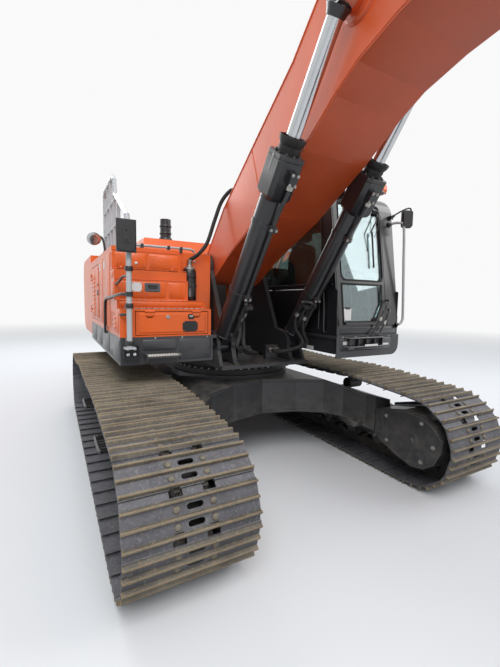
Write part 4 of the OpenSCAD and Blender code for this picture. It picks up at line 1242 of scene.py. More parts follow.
@dataclass
class Undercarriage:
    """Car body, track frames and what is bolted to them."""
    gauge: float = 2700.0
    frame_w: float = 330.0
    half_span: float = 2030.0
    axle_z: float = 450.0
    ring_d: float = 1420.0
    ring_z: float = 930.0
    roller_z: float = 239.0
    roller_span: float = 2940.0
    step_z: float = 430.0
    drive_step: float = 42.0
    idler_x: float = 958.0

    def build(self) -> None:
        """Makes both tracks and the fittings on the frames."""
        for side in Side:
            TrackLoop(side).build()
        self.bearing_bolts()
        self.frame_fittings()
        self.body_fittings()

    def bearing_bolts(self) -> None:
        """Makes the swing bearing's two rings of bolts, its flange and its seal."""
        heads = Shape()
        r = self.ring_d / 2 - 17
        heads.bolt_ring((0, 0), r, 48, self.ring_z + 58.5, 20, 14)
        heads.make("bearing_lower_bolts", "undercarriage", PLATED)
        uppers = Shape()
        uppers.bolt_ring((0, 0), r - 52, 44, 1060.2 - 6, 20, 14, way=DOWN)
        uppers.make("bearing_upper_bolts", "upper", PLATED)
        flange, rim = Shape(), self.ring_d / 2 - 34
        flange.lathe((0, 0, 1042), (0, 0, 1060), [(0, rim - 4), (3, rim), (18, rim)], 96)
        flange.make("bearing_upper_flange", "upper", CHARCOAL, 0, "bearing_steel")
        seal, edge = Shape(), self.ring_d / 2 - 36
        seal.tube([(x, f, self.ring_z + 80) for x, f in
                   [*ring_points((0, 0), edge, 96), (edge, 0)]], 7, 8)
        seal.make("bearing_seal", "undercarriage", CUP, 0, "bearing_steel")

    def frame_fittings(self) -> None:
        """Makes the covers, steps, seams, roller caps and drive bolts on the track frames."""
        bolts, plates, steps, welds, caps = shapes(5)
        middle, half = self.gauge / 2, self.frame_w / 2
        inner, outer = middle - half, middle + half
        for s in (1, -1):
            self.idler_cover(plates, bolts, s)
            for f in (-700, 760):
                self.step(steps, bolts, s, s * outer, f)
            for i in range(8):
                f = -self.roller_span / 2 + i * self.roller_span / 7
                for x, way in ((s * outer, s), (s * inner, -s)):
                    self.roller_cap(caps, bolts, x, way, f)
            # Seams along the frame's box, and the grease cover
            for z in (586, 262):
                for x in (outer + 1, inner - 1):
                    welds.weld([(s * x, -1290, z), (s * x, 1300, z)], 6, 26)
            plates.side(rounded((1080, 1240), (330, 470), 20),
                        *sorted((s * outer, s * (outer + 7))))
            for f, z in ((1100, 350), (1220, 350), (1100, 450), (1220, 450)):
                bolts.bolt((s * (outer + 7), f, z), (s, 0, 0), 18, 10)
            self.drive_caps(caps, bolts, s)
        make_all("undercarriage", [
            (bolts, "track_frame_bolts", PLATED, 0, "running_gear"),
            (plates, "track_frame_covers", CHARCOAL, 2),
            (steps, "track_frame_steps", BLACK, 0, "frame_paint"),
            (welds, "track_frame_welds", CHARCOAL),
            (caps, "roller_and_drive_caps", CHARCOAL, 2, "running_gear")])

    def idler_cover(self, plates: Shape, bolts: Shape, s: int) -> None:
        """Adds the rim, bolts and hub cap on the inner side of one frame's front end.

        Args:
            plates: The shape that gets the rim and the cap.
            bolts: The shape that gets the bolts.
            s: The frame's side, 1 for left.
        """
        x = s * self.idler_x
        path = [(x, *p) for p in (
            (1690, 652), (1948, 716), (2118, 708), (2252, 646), (2330, 553), (2321, 450),
            (2258, 319), (2168, 253), (2052, 230), (1868, 275), (1705, 350))]
        plates.tube(resample([*path, path[0]], 40), 7, 8)
        for f, z in ((1735, 615), (2135, 655), (2262, 470), (2150, 290), (1755, 365)):
            bolts.bolt((x, f, z), (-s, 0, 0), 26, 16)
        plates.lathe((x, self.half_span, self.axle_z), (x - s * 10, self.half_span, self.axle_z),
                     [(-1, 92), (5, 92), (9, 80), (9, 40), (16, 34)], 40)

    def step(self, steps: Shape, bolts: Shape, s: int, x: float, f: float) -> None:
        """Adds a step on the outer side of a frame: a bent bar, rungs and a bolted foot.

        Args:
            steps: The shape that gets the step.
            bolts: The shape that gets the bolts.
            s: The frame's side, 1 for left.
            x: Where the frame's outer face lies.
            f: The step's middle, ahead of the swing axis.
        """
        steps.bend([(x + s * out, f + along, self.step_z) for out, along in (
            (0, -190), (150, -190), (175, -165), (175, 165), (150, 190), (0, 190))], 4, 16, 12)
        for k in range(5):
            rung = f - 130 + k * 65
            steps.box(sorted((x, x + s * 168)), (rung - 9, rung + 9),
                      (self.step_z - 6, self.step_z + 6))
        steps.box(sorted((x, x + s * 14)), (f - 220, f + 220), (380, 470))
        for k in (-195, 195):
            bolts.bolt((x + s * 14, f + k, 450), (s, 0, 0), 24, 14)

    def roller_cap(self, caps: Shape, bolts: Shape, x: float, way: int, f: float) -> None:
        """Adds the cap on a roller's shaft, with its plug and two bolts.

        Args:
            caps: The shape that gets the cap.
            bolts: The shape that gets the bolts.
            x: Where the frame's face lies.
            way: The direction that the face looks in.
            f: The roller's place, ahead of the swing axis.
        """
        z = self.roller_z
        caps.side(rounded((f - 70, f + 70), (z - 34, z + 52), 24),
                  *sorted((x - way, x + way * 26)))
        caps.lathe((x + way * 25, f, z), (x + way * 40, f, z), [(0, 30), (8, 30), (12, 22)], 20)
        for k in (-50, 50):
            bolts.bolt((x + way * 26, f + k, z + 26), (way, 0, 0), 22, 13)

    def drive_caps(self, caps: Shape, bolts: Shape, s: int) -> None:
        """Adds the final drive's two stepped covers, each with a ring of bolts.

        Args:
            caps: The shape that gets the covers.
            bolts: The shape that gets the bolts.
            s: The frame's side, 1 for left.
        """
        hub = (-self.half_span, self.axle_z)
        for r, count, ring in ((172, 24, 1), (96, 12, 0)):
            for p in ring_points(hub, r, count):
                bolts.bolt((s * self.drive_face(ring), *p), (s, 0, 0), 22, 14)
        for ring, sides, profile in (
                (1, 64, [(-2, 195), (6, 195), (12, 188), (12, 120), (16, 118)]),
                (0, 48, [(-2, 115), (6, 115), (10, 108), (12, 60), (22, 52), (24, 20)])):
            caps.lathe((s * self.drive_face(ring), *hub), (s * 2000, *hub), profile, sides)

    def drive_face(self, ring: int) -> float:
        """Returns how far out the final drive's outer (0) or inner (1) face lies."""
        low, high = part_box("sprockets")
        return max(abs(low[0]), abs(high[0])) / MM - self.drive_step * ring

    def body_fittings(self) -> None:
        """Makes the seams, the covers and the swivel under the car body."""
        welds, plates, bolts = shapes(3)
        plan = [(0, 850), (400, 930), (690, 1070), (830, 1240), (940, 1480)]
        low = {0: 520, 400: 508, 690: 493, 830: 465, 940: 405}
        high = {0: 900, 400: 890, 690: 880, 830: 836, 940: 785}
        for sx in (1, -1):
            for sf in (1, -1):
                for table, lift in ((low, 26), (high, -26)):
                    welds.weld([(sx * x, sf * (f + 3), table[x] + lift) for x, f in plan], 6, 20)
        for sf in (1, -1):
            plates.box((-170, 170), sorted((sf * 300, sf * 620)), (512, 521))
            for x in (-145, 145):
                for f in (325, 460, 595):
                    bolts.bolt((x, sf * f, 512), DOWN, 22, 12)
        plates.lathe((0, 0, 521), (0, 0, 400), [(0, 210), (12, 210), (16, 200), (16, 130),
                                                (60, 122), (64, 60)], 48)
        bolts.bolt_ring((0, 0), 180, 12, 509, 24, 12, way=DOWN)
        make_all("undercarriage", [
            (welds, "car_body_welds", CHARCOAL), (plates, "car_body_covers", CHARCOAL, 2),
            (bolts, "car_body_bolts", PLATED, 0, "running_gear")])


class Hose:
    """A rubber hose with crimped ferrules at both ends."""

    def __init__(self, name: str, points: list[Point3], r: float = 19.0, per: int = 7) -> None:
        """Keeps what the hose is made from.

        Args:
            name: The piece's name.
            points: The points that it runs through.
            r: Its radius.
            per: How many steps its path has between two points.
        """
        self.name = name
        self.path = smooth_path(points, per)
        self.r = r

    def build(self, body: str, across: tuple[str, str] | None = None) -> None:
        """Makes the hose on a body; where it crosses a joint, its last ferrule rides on the second
        body and the hose is left on no body.

        Args:
            body: The body of its first end.
            across: The bodies of its first and last end, where it crosses a joint.
        """
        tube = Shape()
        tube.tube(self.path, self.r, 14)
        hose = tube.make(self.name, body, HOSE)
        for tag, (a, b), owner in (("a", (self.path[0], self.path[1]), body),
                                   ("b", (self.path[-1], self.path[-2]),
                                    across[1] if across else body)):
            ferrule = Shape()
            r = self.r
            ferrule.lathe(a, b, [(-26, r * 0.7), (-26, r * 1.0), (-8, r * 1.0), (-8, r * 1.32),
                                 (0, r * 1.38), (14, r * 1.3), (18, r * 1.38), (32, r * 1.3),
                                 (36, r * 1.38), (46, r * 1.34), (48, r * 1.04)], 20)
            ferrule.make(f"{self.name}_ferrule_{tag}", owner, PLATED)
        line = [at(*p) for p in self.path]
        length = sum((b - a).length for a, b in zip(line, line[1:]))
        if across:
            matrix = hose.matrix_world.copy()
            hose.parent = None
            hose.matrix_world = matrix
            tuple(line[0])
            tuple(line[-1])
            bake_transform(hose)
        tuple(line[0])
        [tuple(p) for p in line]


@dataclass
class Ram:
    """One hydraulic cylinder's fittings, placed along its axis from the barrel's eye."""
    name: str
    body: str
    rod_body: str
    foot: Point2
    eye: Point2
    x: float
    barrel_r: float
    length: float
    foot_eye_d: float
    rod_eye_d: float
    rod_eye_w: float
    line_x: float
    cup: bool = True
    # Where the long steel line ends as a share of the barrel, and the side it lies on
    line_end: float = 0.3
    front: int = -1

    @property
    def angle(self) -> float:
        """The axis's angle over the ground in radians."""
        return math.atan2(self.eye[1] - self.foot[1], self.eye[0] - self.foot[0])

    @property
    def stroke(self) -> float:
        """Distance between the two eyes as parked."""
        return math.hypot(self.eye[1] - self.foot[1], self.eye[0] - self.foot[0])

    def at(self, x: float, along: float, out: float = 0.0) -> Point3:
        """Returns the machine point at a distance along the axis and out of it."""
        p = turned((along, self.front * out), self.angle)
        return (self.x + x, self.foot[0] + p[0], self.foot[1] + p[1])

    def build(self) -> None:
        """Makes the gland, the cup, the steel lines and the clamps."""
        self.gland()
        self.lines()
        self.ends()

    def gland(self) -> None:
        """Makes the square head with its bolts, and the rubber cup on the rod."""
        head, bolts = shapes(2)
        r, length = self.barrel_r, self.length
        w, n = r + 11.0, r + 26.0
        outline = [(-w, -n + 34), (-w + 30, -n), (w - 30, -n), (w, -n + 34),
                   (w, n - 34), (w - 30, n), (-w + 30, n), (-w, n - 34)]
        # From the barrel to the face: distance from the barrel's end, inset
        rings = []
        for along, inset in ((-330, 18), (-300, 0), (-36, 0), (-34, 3), (-30, 3), (-28, 0),
                             (1.5, 0)):
            k = (w - inset) / w
            rings.append(head.loop([self.at(x * k, length + along, o * k) for x, o in outline]))
        head.skin(rings)
        head.lathe(self.at(0, length), self.at(0, length + 10),
                   [(-2, r * 0.84), (7, r * 0.84), (8, r * 0.8)], 48)
        for k in range(10):
            a = math.tau * k / 10 + 0.31
            spot = self.at(math.cos(a) * (r - 4), length + 1, math.sin(a) * (r + 2))
            bolts.bolt(spot, self.way(1, 0), 19, 15)
        make_all(self.body, [
            (head, f"{self.name}_gland_head", BARREL, 4),
            (bolts, f"{self.name}_gland_bolts", BARREL)])
        cup = Shape()
        if self.cup:
            profile = [(4, 66), (4, r * 0.86), (30, r * 0.82), (44, r * 0.86), (58, r * 0.82),
                       (84, r * 0.97), (108, r * 1.03), (118, r * 1.02), (118, r * 0.9),
                       (100, r * 0.84), (70, 64)]
        else:
            profile = [(0, 58), (0, 74), (7, 72), (8, 58)]
        cup.lathe(self.at(0, length), self.at(0, length + 10), profile, 48)
        cup.make(f"{self.name}_dust_cup", self.body, CUP)

    def lines(self) -> None:
        """Makes the port block, the steel line along the barrel and its clamps."""
        r, length = self.barrel_r, self.length
        tube, blocks, clamps, bolts = shapes(4)
        x, pipe = self.line_x, 17.0
        head_out = r + 26
        self.block(blocks, x, (length - 180, length - 90), (head_out - 4, head_out + 46), 34)
        for along in (length - 172, length - 98):
            for dx in (-24, 24):
                bolts.bolt(self.at(x + dx, along, head_out + 46), self.way(0, 1), 17, 12)
        surface = r + 24
        stop = length * self.line_end
        path = smooth_path([
            self.at(x, length - 190, head_out + 22), self.at(x, length - 250, head_out + 22),
            self.at(x, length - 330, head_out + 14), self.at(x, length - 400, surface + 6),
            self.at(x, length - 480, surface)], 5)
        tube.tube([*path, *resample([self.at(x, length - 500, surface),
                                     self.at(x, stop + 60, surface)], 90)[1:]], pipe)
        nut = Shape()
        nut.lathe(self.at(x, length - 178, head_out + 22), self.at(x, length - 300, head_out + 22),
                  [(0, 27), (34, 27), (38, 22)], 6)
        nut.make(f"{self.name}_line_nut", self.body, PLATED)
        for along in (length * 0.36, length * 0.72):
            clamps.lathe(self.at(0, along - 17), self.at(0, along), [(0, r + 1), (0, r + 6),
                                                                     (34, r + 6), (34, r + 1)], 56)
            self.block(clamps, x, (along - 24, along + 24), (r + 2, surface + 26), 34)
            for dx in (-24, 24):
                bolts.bolt(self.at(x + dx, along, surface + 26), self.way(0, 1), 17, 12)
        neck = self.foot_eye_d * 0.9
        for along, wide in ((neck + 6, 9), (length - 336, 8)):
            clamps.lathe(self.at(0, along - wide), self.at(0, along + 30),
                         [(0, r - 1), (wide * 0.6, r + wide * 0.7), (2 * wide, r - 1)], 56)
        # The lower line, from the foot's port up to the same bracket
        low = smooth_path([self.at(x, neck + 70, r + 44), self.at(x, neck + 130, r + 52),
                           self.at(x, stop - 160, surface + 12),
                           self.at(x, stop - 60, surface + 30)], 6)
        tube.tube(low, pipe)
        self.block(blocks, x, (neck + 20, neck + 84), (r - 8, r + 66), 32)
        make_all(self.body, [
            (tube, f"{self.name}_steel_lines", BARREL),
            (blocks, f"{self.name}_port_blocks", BARREL, 3),
            (clamps, f"{self.name}_clamps", BARREL, 1.5),
            (bolts, f"{self.name}_clamp_bolts", PLATED)])

    def way(self, along: float, out: float) -> Point3:
        """Returns a step along the axis and out of it as a vector."""
        return tuple(Vector(self.at(0, along, out)) - Vector(self.at(0, 0, 0)))

    def block(self, shape: Shape, x: float, along: Point2, out: Point2, half: float) -> None:
        """Adds a block to the ram.

        Args:
            shape: The shape that gets it.
            x: Its middle across.
            along: Its range along the axis.
            out: Its range out of the axis.
            half: Half its width.
        """
        base = [self.at(x - half, along[0], out[0]), self.at(x + half, along[0], out[0]),
                self.at(x + half, along[1], out[0]), self.at(x - half, along[1], out[0])]
        shape.prism(base, self.way(0, out[1] - out[0]))

    def ends(self) -> None:
        """Makes the boss rings, the neck and the grease nipple at the rod's eye."""
        rings, nipples = shapes(2)
        for w in (-1, 1):
            rings.lathe(self.at(w * self.rod_eye_w / 2, self.stroke),
                        self.at(w * (self.rod_eye_w / 2 + 10), self.stroke),
                        [(-1, self.rod_eye_d / 2 - 14), (2, self.rod_eye_d / 2 - 14),
                         (3, self.rod_eye_d / 2 - 22)], 40)
        neck = self.stroke - self.rod_eye_d * 0.5
        # The bucket's rod closes up to its gland, so its neck stays bare
        if self.name != "bucket_cylinder":
            rings.lathe(self.at(0, neck - 46), self.at(0, neck),
                        [(0, 55.5), (4, 62), (30, 70), (58, 84)], 40)
        rings.make(f"{self.name}_rod_eye_rings", self.rod_body, BARREL)
        spot = self.at(0, self.stroke, self.rod_eye_d / 2)
        nipples.lathe(spot, self.at(0, self.stroke, self.rod_eye_d),
                      [(-2, 9), (6, 9), (6, 5), (16, 5), (20, 3)], 12)
        nipples.make(f"{self.name}_rod_nipple", self.rod_body, PLATED)


@dataclass
class Hydraulics:
    """The four cylinders' fittings, and the hoses at the boom's foot."""
    rams: list[Ram] = field(default_factory=list)

    def build(self) -> None:
        """Makes all cylinders' fittings and hoses."""
        boom_eye = on_boom((2693, 757))
        arm_foot, arm_eye = on_boom((3350, 1360)), on_arm((-820, 370))
        bucket_foot, rocker_eye = on_arm((450, 640)), self.rocker_eye()
        for s, tag in ((-1, "right"), (1, "left")):
            self.rams.append(Ram(f"boom_cylinder_{tag}", f"boom_cylinder_{tag}", f"boom_rod_{tag}",
                                 (700, 1290), boom_eye, s * 440, 100, 1960, 180, 190, 110,
                                 -s * 26, line_end=0.36))
        self.rams.append(Ram("arm_cylinder", "arm_cylinder", "arm_rod", arm_foot, arm_eye, 0,
                             107.5, 2420, 200, 200, 130, 40, line_end=0.12, front=1))
        self.rams.append(Ram("bucket_cylinder", "bucket_cylinder", "bucket_rod", bucket_foot,
                             rocker_eye, 0, 95, 1560, 180, 170, 110, 36, cup=False,
                             line_end=0.16))
        for ram in self.rams:
            ram.build()
        for ram, s, tag in ((self.rams[0], -1, "right"), (self.rams[1], 1, "left")):
            self.swing_hoses(ram, s, tag)

    @staticmethod
    def rocker_eye() -> Point2:
        """Finds the bucket cylinder's rod pin as parked, from the linkage's lengths.

        Returns:
            Its place in (forward, up).
        """
        rocker, link, ear, ear_turn = 503.0, 648.0, 487.0, math.radians(97.8)
        a = (ARM_L - 631, 60.0)
        b = (ARM_L + ear * math.cos(ear_turn), ear * math.sin(ear_turn))
        d = math.hypot(b[0] - a[0], b[1] - a[1])
        m = (rocker * rocker - link * link + d * d) / (2 * d)
        h = math.sqrt(rocker * rocker - m * m)
        u = ((b[0] - a[0]) / d, (b[1] - a[1]) / d)
        return on_arm((a[0] + u[0] * m - u[1] * h, a[1] + u[1] * m + u[0] * h))

    def swing_hoses(self, ram: Ram, s: int, tag: str) -> None:
        """Makes the bracket inward of a boom cylinder and its two hoses to the frame.

        Args:
            ram: The boom cylinder.
            s: Its side, 1 for left.
            tag: Its side's name.
        """
        arm, fittings, pipes = shapes(3)
        stop, out = ram.length * ram.line_end, ram.barrel_r + 24
        inward = -s
        for k, turn in enumerate((22, 66)):
            near = ram.barrel_r + 25
            x = inward * near * math.sin(math.radians(turn))
            rise = near * math.cos(math.radians(turn))
            start = ram.at(ram.line_x, stop + 60 - 120 * k, out if k == 0 else out + 30)
            pipes.bend([
                start, ram.at(ram.line_x, stop + 10 - 60 * k, out + 10),
                ram.at((ram.line_x + x) / 2, stop - 40 - 10 * k, (out + rise) / 2 + 14),
                ram.at(x, stop - 90, rise), ram.at(x, stop - 150, rise)], 6, 17)
            fittings.lathe(ram.at(x, stop - 140, rise), ram.at(x, stop - 300, rise),
                           [(0, 20), (0, 30), (34, 30), (38, 24), (62, 24), (62, 29), (84, 29),
                            (86, 22)], 6)
            a = ram.at(x, stop - 226, rise)
            b = ram.at(x, stop - 300, rise + 3)
            low = (ram.x + x - inward * 30, 1000 + 20 * k, 1300)
            end = (s * (215 - 75 * k), 762, 1216)
            points = [end, (end[0], end[1] + 100, end[2] - 6), (end[0] + s * 10, 960, 1216),
                      (low[0], low[1] + 60, 1300), (b[0], b[1] + 10, b[2] - 120), b, a]
            Hose(f"boom_hose_{tag}_{k + 1}", points).build(
                "upper", ("upper", f"boom_cylinder_{tag}"))
        ram.block(arm, inward * ram.barrel_r * 0.8, (stop - 128, stop - 96),
                  (ram.barrel_r * 0.78, ram.barrel_r + 42), 46)
        make_all(ram.body, [
            (arm, f"boom_line_bracket_{tag}", BARREL, 3),
            (pipes, f"boom_line_bends_{tag}", BARREL),
            (fittings, f"boom_line_fittings_{tag}", BLACK, 0, "barrel_paint")])
        block = Shape()
        for x in (140, 215):
            block.lathe((s * x, 744.5, 1216), (s * x, 790, 1216), [(0, 24), (0, 30), (12, 30)], 6)
        for x in (112, 178, 250):
            block.bolt((s * x, 744.5, 1246), AHEAD, 15, 7)
            block.bolt((s * x, 744.5, 1186), AHEAD, 15, 7)
        block.make(f"boom_hose_block_{tag}", "upper", CHARCOAL, 4)


@dataclass(frozen=True)
class Face:
    """A flat face of the machine: a corner, two directions in it and the way out."""
    origin: Point3
    u: Point3
    v: Point3
    n: Point3

    def at(self, a: float, b: float, c: float = 0.0) -> Point3:
        """Returns the machine point at (a, b) on the face and c out of it."""
        return tuple(o + a * u + b * v + c * n
                     for o, u, v, n in zip(self.origin, self.u, self.v, self.n))

    def slab(self, shape: Shape, outline: list[Point2], low: float, high: float) -> None:
        """Adds an outline that reaches from low to high out of the face."""
        shape.prism([self.at(a, b, low) for a, b in outline],
                    tuple((high - low) * n for n in self.n))

    def pad(self, shape: Shape, a: Point2, b: Point2, r: float, low: float,
            high: float) -> None:
        """Adds a rectangle with round corners that reaches from low to high."""
        self.slab(shape, rounded(a, b, r), low, high)

    def holed(self, shape: Shape, loops: list[list[Point2]], low: float, high: float) -> None:
        """Adds a plate with holes, its outline first."""
        shape.plate([[self.at(a, b, low) for a, b in loop] for loop in loops],
                    tuple((high - low) * n for n in self.n))

    def pressed(self, shape: Shape, a: Point2, b: Point2, r: float, lift: float = 5.0,
                slope: float = 5.0, low: float = -1.0) -> None:
        """Adds a field that is pressed out of a sheet, with sloping edges.

        Args:
            shape: The shape that gets it.
            a: Its range along the face.
            b: Its range up the face.
            r: Its corners' radius.
            lift: How far it stands out.
            slope: How wide its edges are.
            low: Where its foot lies, below the sheet.
        """
        inner = rounded((a[0] + slope, a[1] - slope), (b[0] + slope, b[1] - slope),
                        max(r - slope, 2.0))
        shape.skin([shape.loop([self.at(x, y, low) for x, y in rounded(a, b, r)]),
                    shape.loop([self.at(x, y, 0.3) for x, y in rounded(a, b, r)]),
                    shape.loop([self.at(x, y, lift) for x, y in inner])])

    def bolt(self, shape: Shape, a: float, b: float, across: float = 20.0,
             height: float = 10.0, c: float = 0.0) -> None:
        """Adds a bolt head that stands on the face."""
        shape.bolt(self.at(a, b, c), self.n, across, height)

    def dome(self, shape: Shape, a: float, b: float, r: float = 9.0, c: float = 0.0) -> None:
        """Adds a low round head."""
        shape.lathe(self.at(a, b, c), self.at(a, b, c + r), [(-1, r), (r * 0.25, r * 0.92),
                                                             (r * 0.45, r * 0.6)], 12)

    def louvre(self, shape: Shape, a: Point2, b: float, height: float = 30.0,
               depth: float = 16.0) -> None:
        """Adds a hooded slot that opens downward.

        Args:
            shape: The shape that gets it.
            a: Its range along the face.
            b: Where its foot lies up the face.
            height: Its height.
            depth: How far it stands out.
        """
        mid, half = (a[0] + a[1]) / 2, (a[1] - a[0]) / 2
        rings = []
        for k, w, d in ((0, 0.92, 0.05), (0.25, 0.97, 0.5), (0.6, 1.0, 0.85), (0.9, 1.0, 1.0),
                        (1.0, 1.0, 0.94)):
            y, foot, top, out = b + height * (1 - k), half * w, half * w * 0.96, depth * d
            rings.append(shape.loop([self.at(mid + a, y, c) for a, c in (
                (-foot, -1), (foot, -1), (top, out), (-top, out))]))
        shape.skin(rings)

    def latch(self, cup: Shape, pull: Shape, a: float, b: float, w: float = 84.0,
              h: float = 64.0, c: float = 0.0) -> None:
        """Adds a flush latch: a rounded cup's rim, its floor and the pull in it.

        Args:
            cup: The shape that gets the rim and the floor.
            pull: The shape that gets the pull.
            a: Its place along the face.
            b: Its place up the face.
            w: Its width.
            h: Its height.
            c: How far out it starts.
        """
        left, right = a - w / 2, a + w / 2

        def field(inset: float, r: float) -> list[Point2]:
            """Returns the cup's outline moved inward."""
            return rounded((left + inset, right - inset),
                           (b - h / 2 + inset, b + h / 2 - inset), r)

        self.holed(cup, [field(0, 12), field(9, 7)], c - 1, c + 7)
        self.slab(cup, field(6, 7), c - 1, c + 1.5)
        self.pad(pull, (left + 13, right - 13), (b - 3, b + h / 2 - 12), 5,
                  c + 1, c + 5.5)
        self.pad(pull, (left + 15, right - 15), (b - 7, b + 1), 3, c + 1, c + 12)

    def leaf(self, shape: Shape, a: Point2, b: float, half: float, bolts: Point2,
             high: float) -> None:
        """Adds a hinge leaf with two bolts.

        Args:
            shape: The shape that gets it.
            a: Its range along the face.
            b: Its middle up the face.
            half: Half its height.
            bolts: The bolts' place along the face, and how far above and below.
            high: How far it stands out.
        """
        self.pad(shape, a, (b - half, b + half), 8, -1, high)
        for k in (-bolts[1], bolts[1]):
            self.bolt(shape, bolts[0], b + k, 15, 8, high)

    def lock(self, shape: Shape, a: float, b: float, c: float = 0.0) -> None:
        """Adds a round key lock.

        Args:
            shape: The shape that gets it.
            a: Its place along the face.
            b: Its place up the face.
            c: How far out it starts.
        """
        shape.lathe(self.at(a, b, c), self.at(a, b, c + 10),
                    [(-1, 20), (3, 20), (5, 18), (5, 14), (9, 13), (9, 4), (7, 3)], 24)
        self.pad(shape, (a - 1.6, a + 1.6), (b - 8, b + 8), 1.2, c + 8, c + 10)


def front_face(f: float) -> Face:
    """The plane at a distance ahead of the swing centre, looking forward."""
    return Face((0, f, 0), (1, 0, 0), UP, AHEAD)


def rear_face(f: float) -> Face:
    """The plane at a distance ahead of the swing centre, looking back."""
    return Face((0, f, 0), (1, 0, 0), UP, (0, -1, 0))


def side_face(x: float, way: int = 0) -> Face:
    """The plane at a distance across, looking outward, or 1 to the left and -1 to the right."""
    return Face((x, 0, 0), AHEAD, UP, (way or (1 if x > 0 else -1), 0, 0))


def top_face(z: float) -> Face:
    """The plane at a height, looking up."""
    return Face((0, 0, z), (1, 0, 0), AHEAD, UP)


